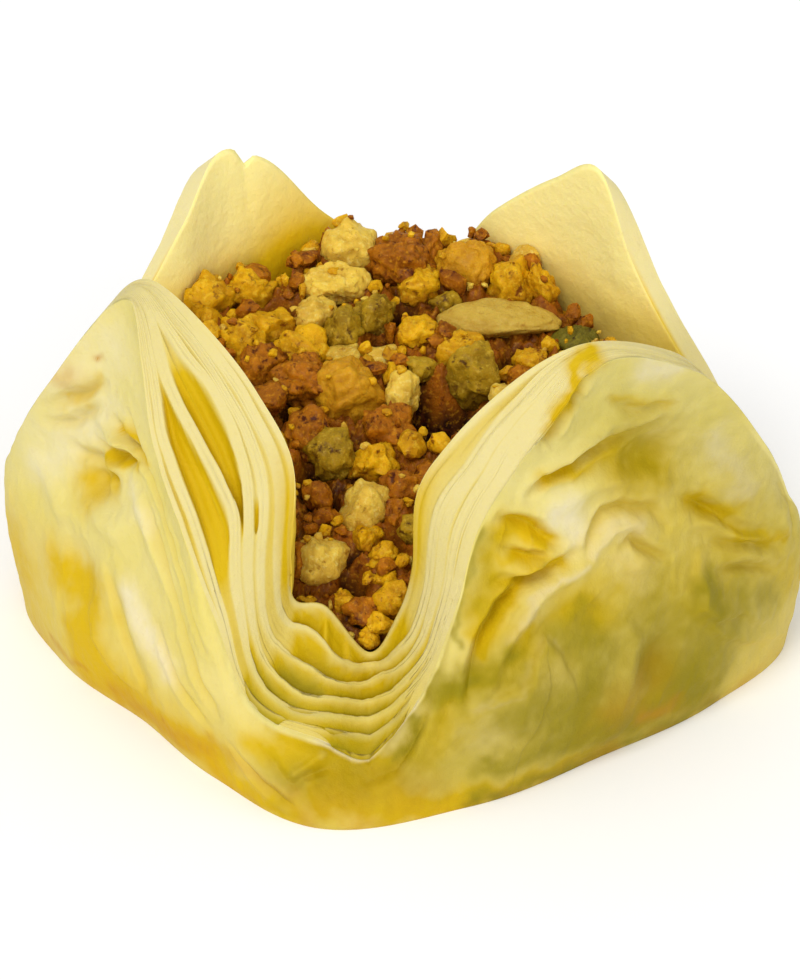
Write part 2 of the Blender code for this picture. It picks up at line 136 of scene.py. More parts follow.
# Folds in the outermost sheet: kind, height (a crease is negative), half width, and points as
# angle and height. A "step" is the free edge of a sheet: its upper side stands proud.
FOLDS = (
    # front right lobe
    ("crease", -1.3, 0.40, ((32, 30.8), (30, 29.6), (29, 28.6))),
    ("hollow", -0.8, 0.8, ((31, 29.4), (29.5, 28.6))),
    ("crease", -1.3, 0.40, ((28.5, 28.7), (26, 27.4), (23.5, 26.7))),
    ("hollow", -0.7, 0.8, ((26.5, 27.0), (24.5, 26.3))),
    ("crease", -0.7, 0.35, ((37, 28.2), (43, 26.7), (49, 26.1))),
    ("ridge", 0.6, 0.55, ((22, 24.0), (29, 24.7), (33, 25.4), (37, 26.4), (43, 26.4))),
    ("crease", -1.3, 0.40, ((47, 25.0), (37, 24.8), (32, 24.4), (29, 23.8), (24.4, 23.7), (22, 22.6))),
    ("hollow", -1.3, 2.0, ((39, 23.4), (46, 22.9), (51, 21.6))),
    ("ridge", 0.8, 0.9, ((24, 21.1), (30, 21.5), (38, 22.0), (45, 20.9), (51, 18.9))),
    ("crease", -0.9, 0.34, ((32, 17.2), (33.4, 18.6), (36.1, 19.7), (39.3, 19.9), (45.4, 18.7),
                            (49, 16.8))),
    ("ridge", 0.6, 0.45, ((34.5, 17.3), (37.5, 18.4), (41.5, 18.3), (46, 16.7))),
    ("crease", -0.9, 0.30, ((39.3, 16.8), (41.4, 17.1), (43.4, 16.1), (46.1, 15.3), (49.3, 14.3))),
    ("ridge", 0.5, 0.6, ((40, 15.6), (45, 14.3))),
    ("crease", -0.8, 0.45, ((51, 18.6), (57, 17.3), (62.5, 14.6), (69, 12.6), (75, 10.6))),
    ("hollow", -0.4, 1.2, ((55, 17.4), (61, 15.6))),
    ("ridge", 0.7, 0.5, ((53, 16.4), (60, 15.0), (67, 12.9), (73, 11.4))),
    ("crease", -0.7, 0.3, ((60, 13.6), (66, 12.6), (73, 10.6))),
    ("ridge", 0.35, 0.4, ((60, 12.6), (66, 11.6), (73, 9.7))),
    ("crease", -0.6, 0.3, ((60, 11.6), (66, 10.6), (72, 8.8))),
    ("step", 0.8, 1.0, ((56, 14.0), (54.5, 12.2), (55.5, 10.6), (54.5, 9.5), (58, 7.9), (64, 7.2),
                        (73, 4.7))),
    ("step", 0.5, 1.0, ((51, 10.6), (55, 8.4), (60, 6.0), (70, 3.8), (80, 1.6))),
    ("crease", -1.1, 0.35, ((27, 18.4), (23, 19.6), (16, 21.4))),
    ("hollow", -0.6, 1.0, ((22, 19.3), (17, 20.0))),
    ("crease", -1.0, 0.32, ((17, 18.8), (21, 18.0), (26, 17.6))),
    ("ridge", 0.6, 0.4, ((16, 17.6), (21, 17.0), (27, 18.0))),
    ("crease", -0.8, 0.3, ((15, 16.6), (20, 16.4), (25, 16.9))),
    ("crease", -1.4, 0.42, ((30, 17.5), (26, 17.0), (21, 16.3), (16, 15.0), (13.5, 13.4), (11.4, 11.4),
                            (10, 9.0))),
    ("ridge", 0.8, 0.55, ((33, 16.4), (28, 15.9), (23, 14.9), (18, 13.2), (15, 11.2), (13, 9.0))),
    ("crease", -0.35, 0.6, ((30, 13.6), (24, 12.8), (19, 11.2))),
    ("hollow", -0.5, 2.2, ((33, 13.6), (36, 11.6))),
    ("step", 0.6, 1.6, ((29, 6.0), (28, 8.2), (25.9, 10.4), (23.3, 11.8), (21, 10.9), (20.4, 9.5),
                        (18.5, 9), (14.3, 8.7), (10.3, 7.5), (4.1, 5.5))),
    ("hollow", -0.9, 2.6, ((42, 8.2), (50, 6.2))),
    ("hollow", 0.6, 3.2, ((34, 6.0), (42, 3.4))),
    ("ridge", 0.5, 0.7, ((38, 11.6), (41, 9.4), (39, 6.8))),
    ("ridge", 0.6, 1.6, ((57, 21.6), (64, 17.6), (70, 15.2))),
    ("crease", -0.5, 0.5, ((72, 16.2), (76, 13.6), (77, 9.4))),
    # front left lobe
    ("crease", -1.4, 0.38, ((-61, 22.2), (-56, 21.7), (-50, 21.2))),
    ("crease", -1.2, 0.35, ((-66, 19.4), (-60, 19.8), (-53, 20.7))),
    ("crease", -0.7, 0.3, ((-57, 23.6), (-54, 22.4), (-50, 21.6))),
    ("ridge", 0.7, 0.45, ((-66, 21.3), (-60, 20.9), (-53, 21.2))),
    ("hollow", -0.6, 1.2, ((-58, 20.3), (-54, 20.6))),
    ("crease", -0.6, 0.32, ((-76, 20.8), (-70, 22.7), (-64, 24.8))),
    ("ridge", 0.6, 0.6, ((-77, 22.2), (-71, 24.0), (-66, 25.6))),
    ("crease", -0.7, 0.4, ((-77, 19.0), (-71, 20.6), (-66, 22.4))),
    ("hollow", -1.3, 1.3, ((-69, 16.7), (-61, 17.3))),
    ("crease", -0.9, 0.38, ((-72, 18.0), (-65, 18.5), (-58, 18.2))),
    ("ridge", 0.6, 1.1, ((-66, 14.6), (-58, 14.6), (-51, 16.4))),
    ("crease", -0.8, 0.3, ((-51, 21.4), (-47, 20.2), (-44, 19.0), (-40, 17.2), (-36, 14.6), (-31, 11.0))),
    ("crease", -0.6, 0.3, ((-49, 18.4), (-45, 16.4), (-41, 13.8), (-37, 11.4))),
    ("ridge", 0.5, 0.8, ((-53, 18.8), (-48, 16.6), (-42, 13.0))),
    ("hollow", -0.9, 2.0, ((-69, 12.0), (-65, 7.6))),
    ("step", -0.7, 1.2, ((-60, 11.6), (-57, 9.4), (-53, 6.6), (-48, 3.8))),
    ("ridge", 0.6, 1.3, ((-56, 11.6), (-50, 8.6), (-45, 5.6))),
    ("step", 0.5, 1.0, ((-64, 8.2), (-62, 5.6), (-57, 3.6), (-49, 3.2))),
    ("crease", -0.6, 0.4, ((-38, 12.0), (-33, 8.6), (-29, 6.4))),
    ("crease", -0.5, 0.35, ((-44, 9.8), (-38, 6.6), (-31, 4.6))),
    ("ridge", 0.6, 1.0, ((-80, 15.4), (-73, 13.2), (-66, 13.6))),
    # below the V
    ("ridge", 0.4, 0.32, ((-18, 4.9), (-11, 4.2), (-5, 3.3), (-1, 5.2), (2.5, 7.4), (5, 10))),
    ("crease", -0.6, 0.35, ((-5.1, 2.8), (-1.2, 3.9), (1.2, 5.4), (2.7, 6.8), (3.6, 8.2))),
    ("crease", -0.5, 0.3, ((-10.6, 3.9), (-13, 3.5), (-16.5, 2.6))),
    ("ridge", 0.3, 0.35, ((-11.9, 4.4), (-14.3, 3.9), (-17.4, 3.0))),
    ("crease", -0.4, 0.4, ((4, 4.4), (6.5, 7.6), (8.5, 11.6))),
    ("crease", -0.5, 0.3, ((-26, 4.4), (-21, 2.6), (-15, 1.4))),
    ("crease", -0.5, 0.3, ((-22, 5.2), (-17, 3.2), (-12, 1.2))),
    # back right lobe
    ("crease", -1.4, 0.6, ((112, 18.2), (122, 20.4), (134, 20.8), (146, 19.0))),
    ("hollow", -1.1, 2.2, ((126, 17.8), (140, 17.2))),
    ("ridge", 0.9, 0.9, ((110, 13.6), (124, 15.6), (138, 15.2), (152, 12.6))),
    ("crease", -1.2, 0.5, ((116, 12.2), (126, 12.8), (136, 10.6))),
    ("crease", -0.9, 0.4, ((128, 25.6), (134, 22.8), (139, 20.2))),
    ("step", 0.6, 1.1, ((108, 9.6), (120, 7.4), (132, 8.2), (143, 5.4), (156, 4.6))),
    ("crease", -0.9, 0.5, ((146, 14.8), (154, 12.2), (162, 9.4))),
    # back left lobe
    ("crease", -1.4, 0.6, ((202, 18.0), (212, 20.0), (224, 20.6), (236, 17.6))),
    ("hollow", -1.1, 2.4, ((210, 17.2), (226, 17.0))),
    ("ridge", 0.9, 0.9, ((198, 13.4), (212, 15.4), (226, 15.0), (242, 11.6))),
    ("crease", -1.2, 0.5, ((206, 11.8), (218, 12.6), (230, 9.4))),
    ("crease", -0.9, 0.4, ((216, 25.2), (221, 22.6), (229, 20.4))),
    ("step", 0.6, 1.1, ((196, 8.2), (208, 6.4), (220, 7.8), (232, 5.2), (246, 5.8))),
    ("crease", -0.9, 0.5, ((184, 10.6), (192, 12.6), (200, 12.8))),
)

# Crests of the cut face between the outer and the inner rim: turn and share, with the turn
# running on past 1 through the bottom of the V to its right side.
CRESTS = (
    ((0.86, 0.17), (0.90, 0.10), (0.925, 0.13), (0.941, 0.11), (0.955, 0.05), (0.978, 0.08), (0.987, 0.16),
     (0.996, 0.24), (1.006, 0.20), (1.014, 0.12), (1.025, 0.05), (1.07, 0.05), (1.12, 0.17)),
    ((0.86, 0.34), (0.885, 0.29), (0.902, 0.36), (0.927, 0.46), (0.943, 0.31), (0.958, 0.22), (0.973, 0.15),
     (0.983, 0.24), (0.995, 0.37), (1.004, 0.38), (1.015, 0.24), (1.026, 0.10), (1.07, 0.10), (1.12, 0.34)),
    ((0.86, 0.50), (0.88, 0.58), (0.895, 0.68), (0.906, 0.69), (0.93, 0.57), (0.948, 0.40), (0.964, 0.36),
     (0.973, 0.27), (0.981, 0.31), (0.992, 0.47), (1.002, 0.56), (1.015, 0.38), (1.026, 0.24), (1.05, 0.28),
     (1.066, 0.25), (1.12, 0.50)),
    ((0.86, 0.67), (0.882, 0.74), (0.907, 0.78), (0.931, 0.71), (0.948, 0.57), (0.963, 0.62), (0.975, 0.53),
     (0.981, 0.49), (0.988, 0.56), (0.996, 0.71), (1.004, 0.78), (1.015, 0.56), (1.026, 0.42), (1.053, 0.46),
     (1.07, 0.42), (1.12, 0.67)),
    ((0.86, 0.83), (0.90, 0.88), (0.933, 0.85), (0.952, 0.77), (0.968, 0.83), (0.976, 0.78), (0.984, 0.68),
     (0.991, 0.77), (1.00, 0.91), (1.011, 0.77), (1.023, 0.62), (1.05, 0.66), (1.07, 0.62), (1.12, 0.83)),
)

# Where the sheets part between two crests: gap counted from the outer rim, turn, reach, depth.
GAPS = (
    (0, 0.999, 0.015, 1.5), (0, 0.93, 0.03, 0.35), (1, 0.911, 0.022, 1.5), (1, 0.962, 0.006, 1.3),
    (1, 1.000, 0.016, 1.4), (2, 0.904, 0.018, 1.7), (2, 0.923, 0.008, 1.2), (2, 0.963, 0.010, 1.6),
    (2, 0.998, 0.019, 1.4), (2, 1.048, 0.021, 1.6), (3, 0.929, 0.003, 1.1), (3, 0.971, 0.009, 1.5),
    (3, 1.006, 0.020, 1.5), (4, 0.979, 0.011, 1.6), (4, 1.010, 0.017, 1.3), (5, 0.971, 0.007, 1.5),
    (5, 0.985, 0.004, 0.8), (5, 1.008, 0.014, 1.1), (3, 0.20, 0.03, 0.3), (3, 0.73, 0.02, 0.5),
    (4, 0.80, 0.02, 0.4), (1, 0.23, 0.05, 0.35), (2, 0.26, 0.05, 0.45), (4, 0.24, 0.05, 0.4),
    (5, 0.25, 0.04, 0.3),
)

# Half thickness of each crest in millimetres, from the outer rim to the inner rim, and the
# share of it that is lost in the floor of the V.
CREST_HALF = (0.28, 0.32, 0.38, 0.34, 0.32, 0.32, 0.30)
CREST_LOSS = (-0.35, 0.75, 0.70, 0.68, 0.65, 0.55, 0.20)

# Strokes of colour on the filo: kind, strength, half width, and points as angle and height. The syrup strokes
# are syrup gold and also painted shade in creases and hollows, the green strokes are olive tone and also
# painted shade on the lower front right lobe, and the bare strokes are pale pastry and also painted
# highlights.
STROKES = (
    # front right lobe
    ("syrup_and_shade", 1.0, 0.6, ((34, 31.5), (30.8, 30.7), (29.5, 29.6))),
    ("syrup_and_shade", 1.0, 0.6, ((29.3, 29.0), (26.7, 28.3), (24.5, 27.2))),
    ("syrup_and_shade", 0.9, 0.7, ((24.4, 23.4), (29.3, 23.6), (35, 23.5), (40.3, 23.4))),
    ("syrup_and_shade", 1.0, 2.3, ((40.5, 22.8), (47, 22.0))), ("green", 0.45, 2.0, ((42, 23), (47.5, 22))),
    ("syrup_and_shade", 0.6, 0.45, ((37.2, 28.5), (42.4, 27.7), (48.1, 26.5))),
    ("syrup_and_shade", 0.9, 0.8, ((55, 17.8), (62.6, 15.5))),
    ("syrup_and_shade", 0.7, 0.45, ((63.5, 13.4), (69.3, 12.4), (74.2, 11))),
    ("syrup_and_shade", 1.0, 0.8, ((17.1, 20.7), (20.7, 19.7), (24.3, 18.9))),
    ("syrup_and_shade", 0.9, 1.5, ((16.6, 20.2), (14.4, 18.0), (12.9, 14.8))),
    ("green", 0.4, 1.5, ((14.2, 19.6), (12.6, 15.4))),
    ("syrup_and_shade", 0.7, 1.3, ((21.5, 17.3), (17, 15.6), (13.5, 13.4))),
    ("syrup_and_shade", 0.9, 0.55, ((26.9, 17.2), (20.4, 16.3), (15.9, 15.2), (13.2, 13.4), (11.8, 11.7))),
    ("syrup_and_shade", 0.9, 0.45, ((20.1, 18.1), (17.1, 18.2))),
    ("green", 0.6, 0.35, ((12.8, 20.7), (11.1, 18.5), (9.6, 15.7), (8.3, 12.9))),
    ("syrup_and_shade", 1.0, 1.5, ((29.2, 13.3), (32.1, 13.2), (34, 11.9))),
    ("green", 0.6, 1.3, ((31, 13), (32, 11.4))),
    ("green", 1.0, 1.0, ((56.9, 11.7), (56.8, 9.7), (58.9, 8.2))),
    ("green", 0.5, 1.1, ((64.1, 9.1), (72.3, 6.5))),
    ("green", 0.7, 1.6, ((26, 11.4), (33.7, 9.6))), ("green", 1.0, 1.6, ((44.1, 6.8), (53, 4.1))),
    ("green", 0.7, 1.3, ((31.6, 7.6), (30, 3.8))),
    ("green", 0.8, 1.1, ((7.3, 9.4), (13.7, 10.5), (17.1, 11.3))),
    ("green", 0.8, 1.0, ((11.7, 3.2), (25.9, 3.3), (38.9, 2.6))), ("green", 0.5, 3.5, ((45, 10), (60, 6))),
    ("browned", 0.5, 0.7, ((43.2, 2.9), (50.6, 2.3))),
    ("syrup_and_shade", 0.9, 1.5, ((36, 3.0), (46, 3.4), (56, 2.6))),
    ("green", 1.0, 2.1, ((35, 2.8), (46, 2.8), (58, 2.2))),
    ("syrup_and_shade", 0.8, 0.9, ((0, 0.8), (15.3, 0.8), (36, 0.6))),
    ("green", 0.9, 0.9, ((12, 0.5), (36, 0.4), (60, 0.4))),
    ("syrup_and_shade", 0.55, 5.0, ((20, 10), (36, 13), (56, 10))), ("syrup_and_shade", 0.4, 4.0, ((46, 20), (66, 14))),
    ("green", 0.50, 5.5, ((8, 6), (24, 9), (46, 9), (60, 7))),
    ("green", 0.35, 6.0, ((38, 27), (60, 19), (80, 10))),
    ("syrup_and_shade", 0.8, 0.9, ((7, 9), (13.5, 10.4), (17.6, 10.9), (19.6, 12.6))),
    ("bare", 0.55, 1.4, ((12, 5.6), (20, 7.0), (24.5, 8.8))),
    ("green", 0.5, 1.8, ((16, 7), (24, 5.5), (36, 4))),
    ("green", 0.5, 2.6, ((24, 3.6), (38, 5.2), (56, 5.0))),
    ("browned", 0.25, 2.0, ((36, 4.6), (46, 6.0))), ("green", 0.6, 2.2, ((21, 7.5), (29, 5.5))),
    ("bare", 0.9, 1.2, ((27.3, 20.8), (30.1, 19))),
    ("bare", 0.7, 0.6, ((43.2, 17.6), (38, 18.4), (34.5, 17.3))),
    ("bare", 0.8, 1.0, ((43.1, 30.4), (47.3, 29.5))), ("bare", 0.6, 1.0, ((57.7, 22.1), (65.2, 16.8))),
    ("bare", 0.4, 1.2, ((38.7, 15.7), (42.6, 13.6))),
    ("bare", 0.8, 0.3, ((17, 12.4), (24, 15.4), (31.7, 16.4))),
    ("bare", 0.8, 0.2, ((10.3, 7.4), (14.3, 8.5), (18.5, 8.9), (20.6, 9.6), (21.2, 10.9), (23.3, 11.6),
                        (26.2, 10.2))),
    # front left lobe
    ("browned", 0.4, 1.0, ((-72, 24.2), (-69.6, 24.9))), ("browned", 0.9, 0.3, ((-65.5, 26.5),)),
    ("syrup_and_shade", 0.5, 0.4, ((-72.6, 21.7), (-68.8, 23.2), (-65.3, 24.8))),
    ("syrup_and_shade", 1.0, 0.4, ((-59, 22), (-53.9, 21.8), (-49.1, 21.7))),
    ("syrup_and_shade", 1.0, 0.4, ((-63.5, 19.1), (-58.1, 19.7), (-52.9, 20.6))),
    ("syrup_and_shade", 0.9, 1.4, ((-69, 16.2), (-61, 17.6))), ("syrup_and_shade", 0.6, 1.2, ((-66.4, 15.2),)),
    ("syrup_and_shade", 1.0, 2.0, ((-73, 8.6), (-62.5, 8.4), (-64.5, 5.4))),
    ("syrup_and_shade", 0.4, 2.0, ((-66, 4.6), (-50, 3.4))),
    ("bare", 0.5, 1.8, ((-79.8, 14.9), (-72.7, 18.7), (-62.5, 22.9))),
    ("bare", 0.4, 3.0, ((-86, 20), (-74, 25), (-62, 28))),
    ("bare", 0.5, 1.1, ((-54.3, 18.3), (-47.7, 17.3))),
    ("bare", 1.0, 1.4, ((-51.7, 10.4), (-45.7, 8.5), (-41.5, 7.4))),
    ("syrup_and_shade", 0.9, 1.6, ((-66, 1.6), (-48.2, 1.8), (-38.6, 2.4), (-30, 2.2))),
    ("browned", 0.45, 1.2, ((-58, 1.4), (-48.2, 1.6), (-38.6, 2.1), (-33, 2.2))),
    ("browned", 0.5, 0.4, ((-43.8, 2.8),)), ("browned", 0.5, 0.45, ((-78.6, 1.3), (-67.3, 1.9))),
    ("browned", 0.25, 0.6, ((-31.2, 3.5), (-22.9, 2.5), (-16.1, 1.7))),
    ("syrup_and_shade", 0.5, 1.0, ((-30, 1.0), (-16, 0.6))),
    # below the V
    ("bare", 0.7, 0.6, ((-16, 4.8), (-10, 4.1), (-5, 3.4), (-1, 5.3), (2.5, 7.6))),
    ("syrup_and_shade", 0.8, 1.0, ((-17.4, 5.5), (-9.8, 3.6), (-2, 3.7))),
    ("syrup_and_shade", 0.9, 1.3, ((-10.6, 2.2), (-3, 2.0))),
    ("green", 0.6, 2.4, ((-16, 2.8), (0, 3.4))), ("browned", 0.2, 2.0, ((-10, 2.2), (2, 1.8))),
    ("syrup_and_shade", 0.6, 1.0, ((-23, 5.0), (-16.7, 4.0))), ("green", 0.7, 1.0, ((4.4, 8.9), (8.8, 10.1))),
    ("green", 0.8, 0.45, ((2.7, 6.9), (1.9, 5.6), (-0.4, 4.2))), ("syrup_and_shade", 0.5, 1.4, ((3, 4.6), (7, 7.4))),
    # back and sides
    ("syrup_and_shade", 0.6, 5.0, ((118, 17.6), (138, 17.6))), ("syrup_and_shade", 0.6, 5.0, ((206, 17.4), (230, 17.4))),
    ("syrup_and_shade", 0.7, 5.0, ((166, 5.0), (188, 5.0))), ("syrup_and_shade", 0.6, 4.0, ((252, 6.0), (272, 6.0))),
    ("syrup_and_shade", 0.5, 2.0, ((72, 9.0), (84, 6.0))), ("bare", 0.6, 3.0, ((132, 25), (146, 23))),
    ("bare", 0.6, 3.0, ((214, 25), (232, 23))), ("browned", 0.6, 1.6, ((120, 1.2), (150, 1.6))),
    ("browned", 0.6, 1.6, ((196, 1.2), (236, 1.6))), ("green", 0.6, 3.0, ((96, 5), (112, 9))),
    ("green", 0.5, 3.0, ((176, 8), (198, 5))),
)

# Where the nuts stop short of the wall: angle and radius, past which the heap falls away.
HEAP_EDGE = (
    (0, 30), (50, 24), (70, 16.5), (90, 15.2), (118, 15.5), (138, 15.3), (144, 17.3), (163, 16.8),
    (171, 17.3), (181, 16.5), (186, 15.8), (190, 16.8), (195, 18.1), (202, 16.8), (208, 15.9),
    (213, 14.6), (219, 14.7), (223, 17), (226, 20.4), (232, 20.3), (250, 30), (360, 30),
)

# Holes between the nuts, pits darkened with painted shade: x, y, radius.
HOLES = (
    (3.2, -0.6, 2.4), (0.9, -0.4, 1.3), (4.6, 0.6, 1.4), (1.6, 1.5, 1.0), (-7.4, 0.5, 0.9),
    (-6.2, -5.7, 1.1), (-5.3, -7.7, 1.0), (-0.9, -11.5, 1.2), (-3.4, -13.4, 0.9), (8.1, 4.6, 1.1),
    (0.2, 9.2, 1.1), (-1.7, 6.2, 1.1), (-9.2, 9.2, 0.8), (-11.3, 7.3, 0.8), (3.2, 8.2, 0.8),
)

# The heap of nuts: height at the middle, rise to the back, fall into the V, and its brow.
HEAP_MIDDLE, HEAP_SLOPE, HEAP_FALL, HEAP_BROW = 17.3, 0.3, 0.02, -4.0

# How many places are tried for a loose nut and for a crumb, and on how wide a disc; how far a
# nut keeps the others off, as a share of its length; how far nuts and crumbs keep off the wall.
NUT_TRIES, NUT_DISC, CRUMB_TRIES, CRUMB_DISC = 420, 20.5, 1500, 21.0
NUT_REACH, NUT_OFF_WALL, CRUMB_OFF_WALL = 0.42, 0.35, 0.25

# Shares of each kind among the loose nuts, and among the crumbs on the nuts and on the bed.
LOOSE_SHARES = {"golden": 0.42, "brown": 0.3, "pale": 0.16, "olive": 0.12}
CRUMB_SHARES = {"golden": (0.62, 0.46), "pale": (0.28, 0.12), "brown": (0.10, 0.42)}

# The bed between the nuts: its rings of points, rows across its top and rows up its side, how
# far it lies below the heap and off the cup's floor and wall, and how deep its holes go.
BED_TURNS, BED_ROWS, SIDE_ROWS = 560, 130, 10
BED_DROP, BED_OFF_WALL, HOLE_DEPTH = 0.7, 0.3, 3.4

# How far the crumbly skin of each kind stands out in millimetres, and of the kinds not given.
BUMPS = {"slab": 0.06, "amber": 0.10, "pale": 0.20}
PLAIN_BUMPS = 0.27

# The nuts that show: kind, x, y, length, depth, height, turn.
NUTS = (
    ("golden", -14.0, 9.6, 4.0, 3.4, 3.6, 10), ("golden", -11.0, 11.0, 4.2, 3.0, 3.0, 50),
    ("pale", -3.7, 14.4, 4.2, 3.4, 4.4, 20), ("pale", -5.0, 11.3, 4.8, 3.6, 3.4, 0),
    ("brown", -0.1, 13.2, 4.8, 3.6, 4.4, -15), ("brown", 1.9, 14.6, 1.8, 2.2, 3.4, 0),
    ("golden", 1.1, 11.5, 3.0, 2.8, 3.0, 35), ("amber", 4.3, 12.9, 4.6, 3.6, 4.4, 5),
    ("golden", 8.0, 11.4, 3.2, 3.0, 4.0, 30), ("golden", 9.9, 11.2, 2.2, 2.4, 3.6, 0),
    ("slab", 6.8, 7.9, 8.8, 3.8, 2.6, -6), ("green", 12.2, 6.0, 3.0, 2.6, 2.4, 0),
    ("golden", 1.1, 6.3, 3.3, 3.0, 2.8, 0), ("olive", 3.0, 9.6, 2.2, 2.0, 2.0, 30),
    ("olive", -2.1, 8.3, 3.4, 2.8, 2.8, 25), ("olive", -4.1, 6.8, 3.2, 3.0, 3.0, 60),
    ("amber", -3.6, 1.0, 5.8, 4.8, 5.0, 15), ("pale", -4.3, 4.2, 3.2, 2.6, 2.6, -20),
    ("pale", 0.0, 0.7, 2.4, 2.4, 3.6, 0), ("brown", -1.0, -2.6, 3.8, 3.2, 3.6, 70),
    ("olive", 5.2, 2.4, 4.0, 3.8, 4.8, -20),
    ("golden", 3.8, 5.0, 3.6, 3.0, 2.8, 10), ("olive", 1.2, 3.4, 2.6, 2.2, 2.0, 50),
    ("golden", 9.0, 3.8, 2.4, 2.2, 2.2, 0), ("golden", -9.6, 7.2, 4.0, 3.2, 2.8, 25),
    ("golden", -7.2, 5.0, 4.0, 3.4, 3.0, -30), ("brown", -7.1, 1.9, 4.6, 3.8, 3.8, -10),
    ("brown", -10.0, 3.2, 3.6, 3.4, 4.0, 45), ("pale", -6.2, 8.2, 3.2, 2.8, 2.6, 60),
    ("olive", -4.9, -4.6, 3.6, 3.4, 3.6, 0), ("golden", -1.9, -5.4, 3.2, 3.0, 3.2, 30),
    ("brown", -0.2, -7.4, 3.0, 2.8, 3.2, 0), ("pale", -2.8, -8.9, 3.7, 3.6, 3.6, 0),
    ("pale", -5.6, -12.4, 3.2, 4.6, 3.8, -25), ("golden", -1.4, -12.3, 2.4, 2.0, 1.8, 10),
    ("golden", -2.6, -10.9, 2.4, 2.0, 2.0, 70), ("golden", -1.2, -13.8, 2.0, 1.6, 1.6, -30),
    ("golden", -0.6, -15.0, 2.4, 2.4, 2.6, 20), ("brown", -2.6, -15.5, 2.6, 2.2, 2.2, 40),
    ("golden", -1.5, -16.4, 2.0, 1.8, 2.0, 0), ("brown", -5.9, -8.0, 2.0, 2.2, 2.4, 30),
    ("brown", -6.8, -2.9, 3.2, 3.2, 4.0, 0), ("golden", -4.0, -15.1, 1.8, 1.6, 1.8, 0),
    ("brown", -7.0, -12.8, 1.8, 2.4, 3.0, 0), ("brown", -0.5, -9.4, 1.8, 1.8, 2.2, 60),
    ("golden", -11.6, 5.4, 3.2, 3.4, 4.2, 0), ("golden", -2.3, -17.2, 1.5, 1.3, 1.3, 0),
)

# Each kind of nut: its material, and the colours of its flesh, of the painted shade in its
#  hollows and of its papery skin, how much skin there is, the colour of its pale specks, broken
#  grains and painted glints, and, where it isn't 0.4, how many show.
NUT_LOOKS = {
    "pale": ("pale_nut", "#F6D252", "#B8821A", "#A06A14", 0.05, "#FCEA8C"),
    "golden": ("golden_nut", "#EEB60E", "#A86A08", "#7C4206", 0.2, "#FAD43C"),
    "amber": ("amber_nut", "#DEA41C", "#A86C0A", "#8E540A", 0.0, "#EEC040", 0.2),
    "brown": ("skinned_nut", "#C0760C", "#6E3404", "#521F04", 0.3, "#E6A21C"),
    "olive": ("olive_nut", "#BC961A", "#6A4A08", "#5A3808", 0.25, "#E6C448"),
    "green": ("pistachio", "#7E721E", "#443C08", "#38280A", 0.2, "#A09030"),
    "slab": ("blanched_nut", "#D6B850", "#B88C26", "#B0842A", 0.0, "#E6CC70", 0.2),
}
# The bed's colours in the same order; its near-black second colour is painted shade in the hollows and holes.
BED_LOOK = ("syrup_bed", "#AA600A", "#280902", "#5C2604", 0.25, "#DA9A20")

# The suns: name, strength, width in degrees, and the place each shines from, in metres; and
# the strength of the white surround.
SUNS = (("key", 1.25, 28, (-0.14, -0.28, 0.40)), ("fill", 1.15, 50, (0.04, -0.40, 0.13)))
SURROUND = 0.64

# The camera: lens and sensor in millimetres, elevation in degrees, and distance and target in
# metres.
LENS, SENSOR = 218.1, 36
ELEVATION, DISTANCE, TARGET = 30, 0.420, (-0.00017, 0.00058, 0.0106)


def linear(code):
    """The linear RGBA of an sRGB hex colour."""
    parts = [int(code[i:i + 2], 16) / 255 for i in (1, 3, 5)]
    return (*(c / 12.92 if c <= 0.04045 else ((c + 0.055) / 1.055) ** 2.4 for c in parts), 1)


def polar(angle, radius, height):
    """x = r sin a, y = -r cos a, z = height, for an angle in degrees."""
    a = np.radians(np.asarray(angle, float))
    radius, height, a = np.broadcast_arrays(radius, height, a)
    return np.stack([radius * np.sin(a), -radius * np.cos(a), height], -1).astype(float)


def angle_of(points):
    """The angle at which points stand: the inverse of polar."""
    return np.degrees(np.arctan2(points[..., 0], -points[..., 1]))


def away(value, place, round_trip):
    """value - place on a closed round, brought to between minus and plus half a round."""
    return (value - place + round_trip / 2) % round_trip - round_trip / 2


def ease(x):
    """3x^2 - 2x^3 between 0 and 1, level outside."""
    x = np.clip(x, 0, 1)
    return x * x * (3 - 2 * x)


def above(x, start, reach):
    """0 up to a value and easing to 1 over the reach past it."""
    return ease((x - start) / reach)


def beneath(x, start, reach):
    """0 down to a value and easing to 1 over the reach under it."""
    return ease((start - x) / reach)


def bell(x, power=2):
    """exp(-x^p): 1 in the middle, with a flatter top for a higher even power."""
    return np.exp(-(x**power))


def closed_curve(points, knots, at):
    """Cubic Hermite curve through the points and back to the first; each tangent is the
    mean of the two neighbouring slopes, weighted by the length of the other span."""
    span = np.diff(knots)
    slope = (np.roll(points, -1, 0) - points) / span[:, None]
    last_slope, last_span = np.roll(slope, 1, 0), np.roll(span, 1)
    tangent = (span[:, None] * last_slope + last_span[:, None] * slope) / (last_span + span)[:, None]
    at = np.mod(at, 1.0)
    i = np.clip(np.searchsorted(knots, at, side="right") - 1, 0, len(span) - 1)
    j = (i + 1) % len(span)
    h = span[i][:, None]
    t = (at[:, None] - knots[i][:, None]) / h
    start = (2 * t**3 - 3 * t**2 + 1) * points[i] + (t**3 - 2 * t**2 + t) * h * tangent[i]
    return start + (3 * t**2 - 2 * t**3) * points[j] + (t**3 - t**2) * h * tangent[j]


